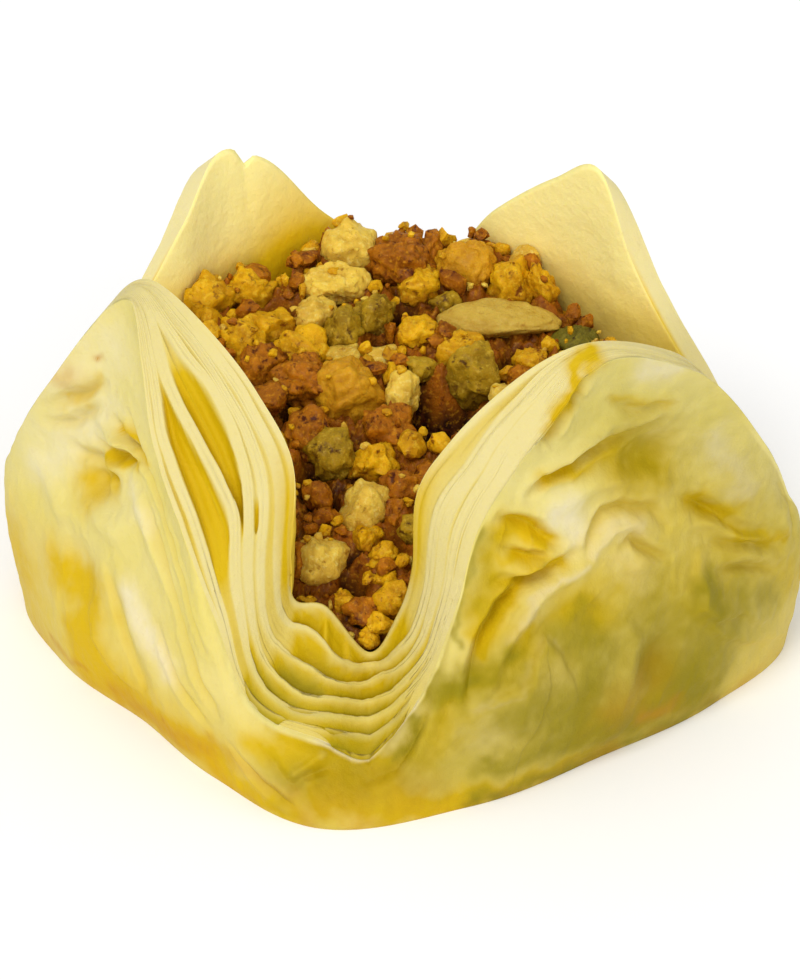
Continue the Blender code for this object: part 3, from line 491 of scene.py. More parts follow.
def rim_curves(turn):
    """The outer and the inner rim at the same turns, with shared knots so that matching
    points stay side by side, and with the nick as a narrow bell."""
    outer = polar(*np.array([o for o, i in RIM], float).T)
    inner = polar(*np.array([i for o, i in RIM], float).T)
    step = np.roll(outer + inner, -1, 0) - outer - inner
    full, flat = np.linalg.norm(step, axis=1), np.linalg.norm(step[:, :2], axis=1)
    length = full / full.sum() + flat / flat.sum()
    knots = np.concatenate([[0], np.cumsum(length) / length.sum()])
    curves = closed_curve(outer, knots, turn), closed_curve(inner, knots, turn)
    for curve in curves:
        curve[:, 2] -= NICK_DEPTH * bell((turn - NICK_TURN) / NICK_REACH)
    return curves


def base_radius(angle):
    """Radius of the base outline: a closed curve through the points of BASE."""
    table = np.array(BASE, float)
    knots = (np.append(table[:, 0], table[0, 0] + 360) - table[0, 0]) / 360
    ring = closed_curve(polar(table[:, 0], table[:, 1], 0), knots, (angle - table[0, 0]) / 360)
    return np.hypot(ring[:, 0], ring[:, 1])


def bezier(controls, t):
    """Cubic Bezier curves side by side: controls are four rings, t the positions along
    each, the same for all or one row for each turn."""
    a, b, c, d = (ring[:, None, :] for ring in controls)
    t = np.atleast_2d(t)[..., None]
    return (1 - t) ** 3 * a + 3 * (1 - t) ** 2 * t * b + 3 * (1 - t) * t**2 * c + t**3 * d


def skin_controls(turn):
    """Control rings of the outer skin, base to rim, and of the inner skin, floor to rim.
    Under a tip the wall swells low down and is pinched at the waist; in a valley it is plain."""
    outer, inner = rim_curves(turn)
    a, lean = angle_of(outer), away(angle_of(inner), angle_of(outer), 360)
    ro, zo = np.hypot(outer[:, 0], outer[:, 1]), outer[:, 2]
    ri, zi = np.hypot(inner[:, 0], inner[:, 1]), inner[:, 2]
    foot, tip = base_radius(a), above(zo, TIP_FROM, TIP_OVER)
    belly = polar(a, foot + BELLY + TIP_BELLY * tip, BELLY_AT * zo + 0.2)
    waist = polar(a, (1 - tip) * (ro + 1.6) + tip * TIP_WAIST, (WAIST_AT - TIP_WAIST_DROP * tip) * zo)
    inner_waist = polar(a + lean, (1 - tip) * (ri - 0.3) + tip * INNER_TIP_WAIST, (0.7 - 0.1 * tip) * zi)
    inner_belly = polar(a + 0.5 * lean, np.minimum(foot - WALL, ri + 0.8), np.maximum(5.0, 0.22 * zi))
    floor = polar(a, CAVITY_RADIUS, CAVITY_FLOOR)
    return (polar(a, foot, 0), belly, waist, outer), (floor, inner_belly, inner_waist, inner)


def fine_turns():
    """Turns round the piece, read along the table of rings."""
    ends, count = np.array(RINGS).T
    return np.interp(np.arange(count[-1]), count, ends)


def wave(turn, seed, cycles, slow=1.0):
    """A smooth closed wave of about unit height: a sum of sines with nine whole numbers of
    cycles, from 3 up to the number asked for, and random phases; the faster are lower."""
    rng = np.random.default_rng(seed)
    numbers = np.unique(np.round(np.geomspace(3, cycles, 9)))
    total = np.zeros(np.shape(turn))
    for n in numbers:
        total += np.sin(2 * np.pi * (n * turn + rng.random())) * (3 / n) ** (0.5 * slow)
    return total / np.sqrt(0.5 * sum((3 / n) ** slow for n in numbers)) * 0.7


def lattice_noise(points, seed):
    """Smooth noise from -1 to 1: random values on a unit lattice, blended by cubic eases."""
    values = np.random.default_rng(seed).uniform(-1, 1, LATTICE_SIZE)
    cell = np.floor(points).astype(int)
    f = ease(points - cell)
    total = 0
    for corner in np.ndindex(2, 2, 2):
        x, y, z = (f[..., k] if corner[k] else 1 - f[..., k] for k in range(3))
        code = sum((cell[..., k] + corner[k]) * LATTICE_STEPS[k] for k in range(3))
        total = total + x * y * z * values[code % LATTICE_SIZE]
    return total


def rough(points, size, octaves, seed):
    """Octaves of lattice noise, each half the size and half the height of the last, and
    moved aside so that their lattices don't meet."""
    return sum(lattice_noise(points / size * 2**k + 17.3 * k, seed + k) / 2**k for k in range(octaves))


def knobs(points, size, seed):
    """Rounded knobs with sharp creases between them: three octaves of |noise|, from 0 to
    about 1, each 1.9 times finer and 1.7 times lower than the last."""
    return sum(np.abs(lattice_noise(points / size * 1.9**k + 9.1 * k, seed + k)) / 1.7**k for k in range(3))


def distance_to_line(angle, height, line):
    """Distance in mm from each (angle, height) to a polyline, measured on a cylinder of
    SKIN_RADIUS; with the share of its length at the nearest place and the side, +1 on the
    left of the line's direction."""
    mm_per_degree = np.radians(SKIN_RADIUS)
    best = np.full(angle.shape, 1e9)
    place, off = np.zeros(angle.shape), np.zeros(angle.shape)
    spans = len(line) - 1
    for k, (start, end) in enumerate(zip(line[:-1], line[1:])):
        dx, dz = (end[0] - start[0]) * mm_per_degree, end[1] - start[1]
        x, z = away(angle, start[0], 360) * mm_per_degree, height - start[1]
        s = np.clip((x * dx + z * dz) / max(dx * dx + dz * dz, 1e-9), 0, 1)
        d = np.hypot(x - s * dx, z - s * dz)
        across = (dx * z - dz * x) / max(math.hypot(dx, dz), 1e-9)
        near = (d < best - 1e-6) | ((d < best + 1e-6) & (np.abs(across) > np.abs(off)))
        best = np.where(near, d, best)
        place = np.where(near, (k + s) / spans, place)
        off = np.where(near, across, off)
    return best, place, np.sign(off)


def fold_relief(points):
    """Height of the folds at each point of the outermost sheet, and how deep it lies in the
    creases. A crease falls off as exp(-d/w) between two low lips, a ridge or hollow is a bell,
    and a step is a small cliff that fades away from its edge on the upper side. The ends of
    each run out."""
    angle, height = angle_of(points), points[..., 2]
    height = height + 0.35 * rough(points, 3.0, 2, 5)
    relief, depth = np.zeros(angle.shape), np.zeros(angle.shape)
    for kind, size, width, line in FOLDS:
        d, place, side = distance_to_line(angle, height, line)
        ends = 0.25 + 0.75 * np.sin(np.pi * place)
        if kind == "crease":
            groove = np.exp(-np.sqrt(d * d + CREASE_BOTTOM**2) / width)
            depth += ends * groove * min(1.2, -0.8 * size)
            relief += ends * (size * groove + CREASE_LIP * abs(size) * bell((d - 2 * width) / width))
        elif kind == "step":
            ends = np.sin(np.pi * place) ** 0.6
            cliff = 1 / (1 + np.exp(-np.clip(side * d / CLIFF, -30, 30)))
            relief += size * ends * cliff * np.exp(-np.maximum(side * d, 0) / (2.2 * width))
            depth += 0.3 * ends * np.exp(-d / 0.35)
        else:
            relief += size * ends * bell(d / width)
    return relief, depth


def painted(points, kind):
    """The strokes of one kind at each point: 1 - (1 - s exp(-(d / w)^2)) multiplied up, at
    places pushed about by noise and mottled."""
    angle = angle_of(points) + 1.3 * rough(points, 1.7, 3, 21)
    height = points[..., 2] + 0.55 * rough(points, 1.7, 3, 25)
    mottle = 1 + 0.22 * rough(points, 0.8, 2, 29)
    clean = np.ones(angle.shape)
    for name, strength, width, line in STROKES:
        if name == kind:
            d, _, _ = distance_to_line(angle, height, line if len(line) > 1 else line * 2)
            clean *= 1 - np.clip(strength * mottle, 0, 1) * bell(d / width)
    return 1 - clean


def outward(grid):
    """Unit normals of a grid (turn, row), pointing away from the piece."""
    along = np.roll(grid, -1, 0) - np.roll(grid, 1, 0)
    up = np.gradient(grid, axis=1)
    normal = np.cross(along, up)
    return normal / np.maximum(np.linalg.norm(normal, axis=-1, keepdims=True), 1e-9)


def pole_faces(count, ring_start, pole, upward):
    """Triangles between a ring of points and a single point, facing up or down."""
    i = ring_start + np.arange(count)
    j = ring_start + (np.arange(count) + 1) % count
    order = (i, j) if upward else (j, i)
    return np.stack([np.full(count, pole), *order], -1)


def closed_body(grid, first, last):
    """Points, quads and triangles of a grid (turn, row), stored ring by ring and closed by
    one point under its first ring and one over its last."""
    count, rows = grid.shape[:2]
    points = np.concatenate([grid.transpose(1, 0, 2).reshape(-1, 3), [first, last]])
    i = np.arange(count)
    j = (i + 1) % count
    low = np.arange(rows - 1)[:, None] * count
    quads = np.stack([low + i, low + j, low + count + j, low + count + i], -1).reshape(-1, 4)
    caps = np.concatenate([pole_faces(count, 0, count * rows, False),
                           pole_faces(count, (rows - 1) * count, count * rows + 1, True)])
    return points, quads, caps


def make_mesh(name, points, quads, triangles, values, material, node):
    """An object from points in millimetres and faces, with named values on its points, in
    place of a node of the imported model."""
    mesh = bpy.data.meshes.new(name)
    loops = np.concatenate([quads.ravel(), triangles.ravel()])
    sizes = np.concatenate([np.full(len(quads), 4), np.full(len(triangles), 3)])
    mesh.vertices.add(len(points))
    mesh.vertices.foreach_set("co", ((points - CENTRE) * MM).ravel())
    mesh.loops.add(len(loops))
    mesh.loops.foreach_set("vertex_index", loops)
    mesh.polygons.add(len(sizes))
    mesh.polygons.foreach_set("loop_start", np.concatenate([[0], np.cumsum(sizes)[:-1]]))
    mesh.polygons.foreach_set("use_smooth", np.ones(len(sizes), bool))
    mesh.update(calc_edges=True)
    for key, value in values.items():
        mesh.attributes.new(key, "FLOAT", "POINT").data.foreach_set("value", value)
    mesh.materials.append(material)
    item = bpy.data.objects.new(name, mesh)
    bpy.context.scene.collection.objects.link(item)
    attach(item, "root")
    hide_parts(node)
    return item


def stack_point(controls, share, t):
    """A point of the stack: the outer and the inner skin mixed by share."""
    outer, inner = controls
    return bezier(outer, t) * (1 - share)[..., None] + bezier(inner, t) * share[..., None]


def table_at(turn, table):
    """A table of turn and value read at every turn, averaged over a short stretch; before
    its first and after its last turn it keeps the end value."""
    x, y = np.array(table).T
    on = np.where(turn < 0.5, turn + 1, turn)
    return sum(np.interp(on + step, x, y) for step in (-0.003, -0.0015, 0, 0.0015, 0.003)) / 5


def gap_depths(turn, count):
    """Depth of every gap at every turn: flat-topped bells exp(-((turn - place) / reach)^4)
    over a shallow groove that comes and goes."""
    depth = np.stack([0.22 + 0.10 * wave(turn, 150 + k, 40) for k in range(count)])
    for gap, place, reach, size in GAPS:
        depth[gap] += size * bell(away(turn, place, 1) / reach, 4)
    return np.clip(depth, 0.04, None)


def crest_lines(turn, width, in_v):
    """The share of every crest at every turn, the two rims included: the lines of the table
    with a drift of their own, held at least CREST_APART from one another."""
    crests = [0 * turn] + [table_at(turn, t) for t in CRESTS] + [0 * turn + 1]
    drift = np.stack([0.18 * wave(turn, 170 + k, 70) + 0.10 * in_v * wave(turn, 190 + k, 220, 0.3)
                      for k in range(len(crests))]) / width
    crests = np.stack(crests)
    crests += drift * np.sin(np.pi * crests) * 0.7
    for k in range(1, len(crests) - 1):
        crests[k] = np.maximum(crests[k], crests[k - 1] + CREST_APART / width)
    for k in range(len(crests) - 2, 0, -1):
        crests[k] = np.minimum(crests[k], crests[k + 1] - CREST_APART / width)
    return crests


def thin_sheets(turn, column, gap, v, span, in_v):
    """How far the thin sheets sink between two crests: |2f - 1|^3 across each, so that its
    edge is round, a wave of its own along it, both in proportion to its thickness, and a slow
    pucker that neighbours share. Where the sheets lie close, little of it is seen."""
    gaps = gap[-1] + 1
    sheet = np.floor(column * SHEETS + 1e-9).astype(int)
    f = (column * SHEETS - sheet)[:, None]
    thickness = np.clip(span / SHEETS, 0.02, 0.4)
    own = np.stack([wave(turn, 400 + k, 60, 0.7) for k in range(gaps * SHEETS)])[sheet]
    pucker = np.stack([wave(turn, 460 + k, 45, 0.8) for k in range(gaps + 1)])
    pucker = pucker[gap] * (1 - v) + pucker[gap + 1] * v
    calm = sum(bell(away(turn, place, 1) / CALM_REACH, 4) for place in CALM_TURNS) + 0.65 * in_v
    seen = 1 - 0.85 * np.clip(calm, 0, 1)
    return seen * thickness * (0.40 * np.abs(2 * f - 1) ** 3 + 0.35 * own) + 0.16 * seen * pucker


def cut_face(turn, controls, shift):
    """The cut edge of the stack as a grid (turn, column), with its depth and share. Its
    columns follow the crests. Between two crests it drops by D (1 - exp(-(d / w)^2)), where d
    is the distance to the nearer crest and D the depth of the gap, and the thin sheets add
    theirs, fading out at the inner rim."""
    outer, inner = rim_curves(turn)
    width = np.linalg.norm(outer - inner, axis=1)
    in_v = bell(away(turn, V_TURN, 1) / V_REACH, 4)
    crests = crest_lines(turn, width, in_v)
    gaps, per = len(crests) - 1, SHEETS * SAMPLES
    column = np.arange(1, gaps * per) / per
    gap = np.floor(column + 1e-9).astype(int)
    v = (column - gap)[:, None]
    span = (crests[gap + 1] - crests[gap]) * width
    share = crests[gap] + v * span / width
    half = np.array(CREST_HALF)[:, None] * (1 - np.array(CREST_LOSS)[:, None] * in_v)
    near = np.maximum(np.minimum(v * span - half[gap], (1 - v) * span - half[gap + 1]), 0)
    deep = gap_depths(turn, gaps)[gap] * (1 - bell(near / GAP_WALL))
    fine = thin_sheets(turn, column, gap, v, span, in_v) * beneath(share, 1, 0.15)
    share, deep, depth = share.T, deep.T, np.maximum(deep + fine, 0).T
    back = 0.06
    rate = np.linalg.norm(stack_point(controls, share, np.array([1.0]))
                          - stack_point(controls, share, np.array([1.0 - back])), axis=-1) / back
    grid = stack_point(controls, share, 1 - np.clip(depth / rate, 0, 0.6))
    return grid + shift[:, None] * ((1 - share) ** 2)[..., None], deep, share


def outer_sheet(turn, controls):
    """Rows of the outermost sheet from base to rim, with its folds and crinkles laid along
    its normals, and the strength of each colour. The syrup gold and the olive deepen with the
    depth of the creases and steps as painted shade, the syrup gold grows stronger towards the
    base, and both leave the cut edge of the sheet pale, but for the tips."""
    rise = np.concatenate([[0, 0.006, 0.014], np.linspace(0.024, 1, SKIN_ROWS - 3)])
    grid = bezier(controls[0], rise)
    relief, depth = fold_relief(grid)
    crinkle = 0.10 * rough(grid, 2.6, 3, 31) + 0.05 * rough(grid * [1, 1, 0.5], 0.8, 2, 35)
    fade = above(rise, 0, 0.10) * (0.45 + 0.55 * beneath(rise, 1, 0.06))
    grid = grid + outward(grid) * ((relief + crinkle) * fade[None])[..., None]
    z = grid[..., 2]
    below = above(np.linalg.norm(grid - grid[:, -1:], axis=-1), 0.3, 0.4)
    soaked = below + (1 - below) * above(z, 20, 5)
    foot = 0.3 * beneath(z, 17, 17) + 0.18 * beneath(z, 9, 9)
    toast = 0.2 * beneath(z, 2.5, 2.5) * (0.4 + rough(grid, 1.6, 3, 77))
    # painted shade: the syrup gold deepens with the depth of the creases and steps
    syrup_and_shade = painted(grid, "syrup_and_shade") + 0.6 * np.clip(depth, 0, 1) + foot
    # painted shade: olive in the deepest creases
    green = painted(grid, "green") + 0.35 * np.clip(depth - 0.6, 0, 1)
    values = {
        "syrup_and_shade": np.clip(syrup_and_shade, 0, 1) * soaked,
        "browned": np.clip(painted(grid, "browned") + toast, 0, 1),
        "bare": painted(grid, "bare"),
        "green": np.clip(green, 0, 1) * soaked,
    }
    return grid, values


def edge_values(edge, deep, share):
    """Colours of the cut face: syrup gold in its gaps that deepens with their depth as painted
    shade, more of it low down, in the floor of the V and beside the nuts, olive painted shade
    low down in the outer gaps, paler crests above them that are partly painted highlight, and
    a painted glow on the cut face of the back flaps high up."""
    z = edge[..., 2]
    low = beneath(z, 14, 8)
    near_nuts = 0.75 * above(share, 0.72, 0.28) * beneath(z, 27, 6) * (1 - 0.75 * beneath(z, 16, 3))
    tip = painted(edge, "syrup_and_shade") * above(z, 24, 3)
    olive = low * (1 - 0.8 * above(share, 0.45, 0.3))
    return {
        # painted shade: the gold deepens with the depth of each gap
        "syrup_and_shade": np.clip(0.12 + 0.2 * low + 1.5 * deep + near_nuts + tip, 0, 1),
        # painted shade: olive in the deep gaps low down
        "green": np.clip(0.08 + (deep - 0.1) * olive, 0.08, 0.8),
        # painted highlight: the crests between shallow gaps are paler
        "bare": 0.45 * np.exp(-5 * deep) * (1 - low),
        # painted glow: the cut face of the back flaps is lighter high up, as if lit through
        "inner": above(z, 18, 5) * above(edge[..., 1], 0, 8),
    }


def lining_values(points):
    """Colours of the innermost sheet: syrup where the nuts lean on it, less on the right, and
    a golden sweep over the right half of the back left flap; high up the flaps are painted
    lighter and yellower, a painted glow as if lit through the thin sheets."""
    angle, z = angle_of(points), points[..., 2]
    right = bell(away(angle, 125, 360) / 45)
    line = beneath(z, 24.5, 5) * (0.7 - 0.5 * right)
    sweep = bell(away(angle, -156, 360) / 15) * beneath(z, 29.5, 7)
    syrup_and_shade = 0.1 + line + 0.6 * sweep + 0.25 * right * beneath(z, 27, 8)
    # painted glow: the inside of the flaps is lighter high up
    return {"syrup_and_shade": np.clip(syrup_and_shade, 0, 1), "inner": above(z, 18, 5)}


def make_cup(material):
    """The whole cup as one closed surface: up the outside, across the cut edge of the sheets
    and down the inside, which bulges a little; its base and its floor close at two poles."""
    turn = fine_turns()
    controls = skin_controls(turn)
    outside, values = outer_sheet(turn, controls)
    edge, deep, share = cut_face(turn, controls, outside[:, -1] - controls[0][3])
    fall = np.linspace(1, 0, INSIDE_ROWS) ** 0.85
    lining = bezier(controls[1], fall)
    bulge = 0.12 * beneath(fall, 1, 0.15) * rough(lining, 3.5, 3, 51)
    lining = lining - outward(lining) * bulge[..., None]
    lining = np.concatenate([lining, lining[:, -1:] * [0.5, 0.5, 1]], 1)
    stretches = ((outside[:, :1] * [0.5, 0.5, 0], {}), (outside, values),
                 (edge, edge_values(edge, deep, share)), (lining, lining_values(lining)))
    grid = np.concatenate([points for points, _ in stretches], 1)
    colours = {}
    for key in ("syrup_and_shade", "browned", "bare", "green", "inner"):
        rows = [found.get(key, np.zeros(points.shape[:2])) for points, found in stretches]
        ring = np.concatenate(rows, 1).T
        colours[key] = np.append(ring.ravel(), [ring[0, 0], ring[-1, 0]])
    body = closed_body(grid, [0, 0, 0], [0, 0, CAVITY_FLOOR])
    make_mesh("filo_parcel", *body, colours, material, "filo_cup")


def heap_height(y):
    """A slope up to the back that falls away into the V in front of the brow."""
    return HEAP_MIDDLE + HEAP_SLOPE * y - HEAP_FALL * np.maximum(0, HEAP_BROW - y) ** 2


def inner_wall():
    """Radius of the innermost sheet on a table of angles, each WALL_STEP degrees, and heights,
    each mm from WALL_FROM; and the radius and height of its rim at the same angles."""
    turn = np.arange(1080) / 1080
    _, controls = skin_controls(turn)
    wall = bezier(controls, np.linspace(0, 1, 60))
    angle, radius, z = angle_of(wall), np.hypot(wall[..., 0], wall[..., 1]), wall[..., 2]
    table = np.zeros((360 // WALL_STEP, WALL_TO - WALL_FROM))
    rim = np.zeros((len(table), 2))
    for a in range(len(table)):
        ring = np.argmin(np.abs(away(angle[:, -1], WALL_STEP * a, 360)))
        table[a] = np.interp(np.arange(WALL_FROM, WALL_TO), z[ring], radius[ring])
        rim[a] = radius[ring, -1], z[ring, -1]
    return table, rim


def wall_row(angle):
    """The row of the wall's table nearest to an angle."""
    return np.round(angle / WALL_STEP).astype(int) % (360 // WALL_STEP)


def edge_radius(angle):
    """How far out the nuts reach at an angle."""
    return np.interp(np.mod(angle, 360), *np.array(HEAP_EDGE, float).T)


def heap_top(points, rim):
    """The heap's height, drawn down near the wall where the rim is lower than the heap, and
    falling away past its edge."""
    angle, radius = angle_of(points), np.hypot(points[..., 0], points[..., 1])
    edge = rim[wall_row(angle)]
    near = above(radius / edge[..., 0], 0.74, 0.24)
    height = heap_height(points[..., 1])
    level = np.minimum(height, edge[..., 1] - 0.5)
    past = np.maximum(radius - edge_radius(angle), 0)
    return height * (1 - near) + level * near - 1.6 * past


def keep_inside(points, table, gap):
    """Pulls points in to the innermost sheet less the gap."""
    a = wall_row(angle_of(points))
    z = np.clip(points[:, 2] - WALL_FROM, 0, table.shape[1] - 1.001)
    k = z.astype(int)
    limit = table[a, k] * (1 - (z - k)) + table[a, k + 1] * (z - k) - gap
    radius = np.maximum(np.hypot(points[:, 0], points[:, 1]), 1e-6)
    return points * np.stack([np.minimum(1, limit / radius)] * 2 + [np.ones(len(points))], -1)


def on_slab(x, y):
    """Whether a place is on the long blanched piece, which carries no crumbs."""
    return any(kind == "slab" and abs(x - a) < 0.55 * length and abs(y - b) < 0.6 * depth
               for kind, a, b, length, depth, _, _ in NUTS)


def in_hole(x, y):
    """1 in the middle of a hole between the nuts, falling to 0 round it."""
    return np.clip(sum(bell(((x - a) ** 2 + (y - b) ** 2) / r**2) for a, b, r in HOLES), 0, 1)


def ball(level):
    """Points and triangles of a unit ball."""
    work = bmesh.new()
    bmesh.ops.create_icosphere(work, subdivisions=level, radius=1.0)
    points = np.array([v.co for v in work.verts])
    faces = np.array([[v.index for v in f.verts] for f in work.faces])
    work.free()
    return points, faces


def chip(base, size, angle, seed, bumps):
    """A chopped piece of nut: a ball cut by random planes (each point pulled back to the
    plane), stretched to size, covered with crumbly knobs, and turned about the upright; with a
    painted shade for each point, from 0 to 1, darker between the knobs and on the underside."""
    rng = np.random.default_rng(seed)
    points = base.copy()
    for _ in range(6):
        normal = rng.normal(size=3)
        normal /= np.linalg.norm(normal)
        over = np.maximum(points @ normal - rng.uniform(0.5, 0.85), 0)
        points -= over[:, None] * normal * 0.9
    points = points / np.abs(points).max(0) * np.array(size) / 2
    out = points / np.maximum(np.linalg.norm(points, axis=1, keepdims=True), 1e-6)
    reach, place = min(size), 50 * rng.random(3)
    lumps = knobs(points + place, 0.42 * reach, seed % 97) - 0.45
    grains = knobs(points + place, 0.8, seed % 89) - 0.45
    specks = knobs(points + place, 0.42, seed % 83) - 0.45
    points = points + out * ((0.08 + 0.35 * bumps) * reach * lumps + bumps * (grains + 0.6 * specks))[:, None]
    c, s = np.cos(np.radians(angle)), np.sin(np.radians(angle))
    # painted shade: darker between the knobs and towards the underside
    shade = 0.2 - 0.9 * grains - 0.5 * specks + 0.9 * ease(0.35 - 1.6 * points[:, 2] / size[2])
    return points @ np.array([[c, s, 0], [-s, c, 0], [0, 0, 1]]), np.clip(shade, 0, 1)


def join(name, pieces, material, smooth):
    """One object from many pieces, each given as points, triangles and the painted shade and tone of its
    points.
    """
    starts = np.cumsum([0] + [len(points) for points, _, _ in pieces])
    faces = np.concatenate([piece[1] + start for piece, start in zip(pieces, starts)])
    points, painted_shade_and_tone = (np.concatenate([piece[k] for piece in pieces]) for k in (0, 2))
    item = make_mesh(name, points, np.zeros((0, 4), int), faces, {"painted_shade_and_tone": painted_shade_and_tone}, material, "nut_filling")
    item.data.polygons.foreach_set("use_smooth", np.full(len(faces), smooth))


def spread(count, radius):
    """Places spread evenly over a disc: the k-th stands k golden angles round, at a radius of
    R sqrt((k + 0.5) / count). Gives its number, angle, radius, x and y."""
    for k in range(count):
        angle, r = k * GOLDEN_ANGLE, radius * np.sqrt((k + 0.5) / count)
        x, y, _ = polar(angle, r, 0)
        yield k, angle, r, x, y


def cell_of(x, y):
    """The cell of the height map that a place falls in."""
    return np.floor((np.array([x, y]) + MAP_HALF) / MAP_CELL).astype(int)


def top_map(points):
    """The highest point in each cell of a square grid over the heap, spread by one cell each
    way so that it has no pinholes."""
    side = int(2 * MAP_HALF / MAP_CELL)
    grid = np.full((side, side), -50.0)
    np.maximum.at(grid, tuple(cell_of(points[:, 0], points[:, 1])), points[:, 2])
    for axis in (0, 1):
        grid = np.maximum(grid, np.maximum(np.roll(grid, 1, axis), np.roll(grid, -1, axis)))
    return grid


def loose_nuts(bed):
    """Smaller nuts on the bed wherever the nuts of the table leave room, but for the holes:
    ball level, kind, place, size and turn of each."""
    rng = np.random.default_rng(83)
    low = top_map(bed)
    taken = [(x, y, NUT_REACH * max(length, depth)) for _, x, y, length, depth, _, _ in NUTS]
    for _, a, r, x, y in spread(NUT_TRIES, NUT_DISC):
        i, j = cell_of(x, y)
        size = rng.uniform(1.5, 3.2) * rng.uniform(0.75, 1.1, 3)
        kind = list(LOOSE_SHARES)[rng.choice(len(LOOSE_SHARES), p=list(LOOSE_SHARES.values()))]
        reach = NUT_REACH * size.max()
        crowded = any(math.hypot(x - p, y - q) < reach + other for p, q, other in taken)
        outside = r > edge_radius(a) + (2 if y < 3 else -1)
        if low[i, j] < 0 or crowded or outside or in_hole(x, y) > 0.15:
            continue
        taken.append((x, y, reach))
        yield 3, kind, (x, y, low[i, j] + 0.15 * size[2]), size, rng.uniform(0, 360)


def table_nuts():
    """The nuts of the table, sunk into the heap to nearly half their height: ball level, kind,
    place, size and turn of each."""
    for kind, x, y, length, depth, height, angle in NUTS:
        level = 5 if length > 4.5 else 4
        yield level, kind, (x, y, heap_height(y) + 0.08 * height), (length, depth, height), angle


def make_nuts(materials, bed):
    """All the nuts, one object for each kind; gives back all their points."""
    table, _ = inner_wall()
    balls = {level: ball(level) for level in (3, 4, 5)}
    chosen = [*table_nuts(), *loose_nuts(bed)]
    everything = []
    for kind, material in materials.items():
        pieces = []
        for k, (level, name, place, size, angle) in enumerate(chosen):
            if name != kind:
                continue
            points, faces = balls[level]
            bumps = BUMPS.get(kind, PLAIN_BUMPS) * min(1, max(size) / 3.4)
            form, painted_shade_and_tone = chip(points, size, angle, 500 + k, bumps)
            own = np.random.default_rng(k).uniform(-0.15, 0.2)
            form = keep_inside(form + place, table, NUT_OFF_WALL)
            pieces.append((form, faces, np.clip(painted_shade_and_tone + own, 0, 1)))
        everything += [piece[0] for piece in pieces]
        join(f"nuts_{kind}", pieces, material, True)
    return np.concatenate(everything)


def make_crumbs(materials, bed, nuts):
    """Crumbs of nut strewn evenly over the nuts and the bed, most of them small, half sunk in
    what they lie on; fewer and paler on the nuts, none in the holes or on the blanched piece."""
    rng = np.random.default_rng(61)
    table, _ = inner_wall()
    balls = ball(1), ball(2)
    low = top_map(bed)
    high = np.maximum(low, top_map(nuts))
    kinds = list(materials)
    pieces = {kind: [] for kind in kinds}
    for k, a, r, x, y in spread(CRUMB_TRIES, CRUMB_DISC):
        i, j = cell_of(x, y)
        on_nut = high[i, j] > low[i, j] + 0.3
        draw, pick = rng.random(), rng.random()
        size = (0.25 + 0.35 * draw if on_nut else 0.5 + 1.3 * draw**2) * rng.uniform(0.6, 1.4, 3)
        outside = low[i, j] < 0 or in_hole(x, y) > 0.2 or r > edge_radius(a) + 3
        if outside or (on_nut and pick < 0.8) or on_slab(x, y):
            continue
        points, faces = balls[int(size.max() > 0.6)]
        form, painted_shade_and_tone = chip(points, size, rng.uniform(0, 360), 900 + k, min(0.3, 0.3 * size.max()))
        place = np.array([x, y, high[i, j] + (-0.15 if on_nut else 0.1) * size[2]])
        kind = kinds[rng.choice(len(kinds), p=[CRUMB_SHARES[name][0 if on_nut else 1] for name in kinds])]
        own = rng.uniform(-0.2, 0.35)
        form = keep_inside(form + place, table, CRUMB_OFF_WALL)
        pieces[kind].append((form, faces, np.clip(painted_shade_and_tone + own, 0, 1)))
    for kind, material in materials.items():
        join(f"crumbs_{kind}", pieces[kind], material, False)


def bed_side(controls, rim):
    """The side of the bed, floor to brim: rows of the cavity's wall up to the level of the
    nuts, drawn in from the wall and lifted off the floor."""
    wall = bezier(controls, np.linspace(0, 1, 61))
    level = np.minimum(heap_top(wall, rim) - 0.5, wall[:, -1:, 2] - 0.9)
    last = np.argmax(wall[..., 2] >= np.maximum(level, 6.5), axis=1)
    pick = np.round(last[:, None] * np.linspace(0, 1, SIDE_ROWS)[None]).astype(int)
    side = np.take_along_axis(wall, pick[..., None], axis=1)
    radius = np.hypot(side[..., 0], side[..., 1])
    side[..., :2] *= ((radius - BED_OFF_WALL) / radius)[..., None]
    side[..., 2] += BED_OFF_WALL * np.linspace(1, 0, SIDE_ROWS)
    return side


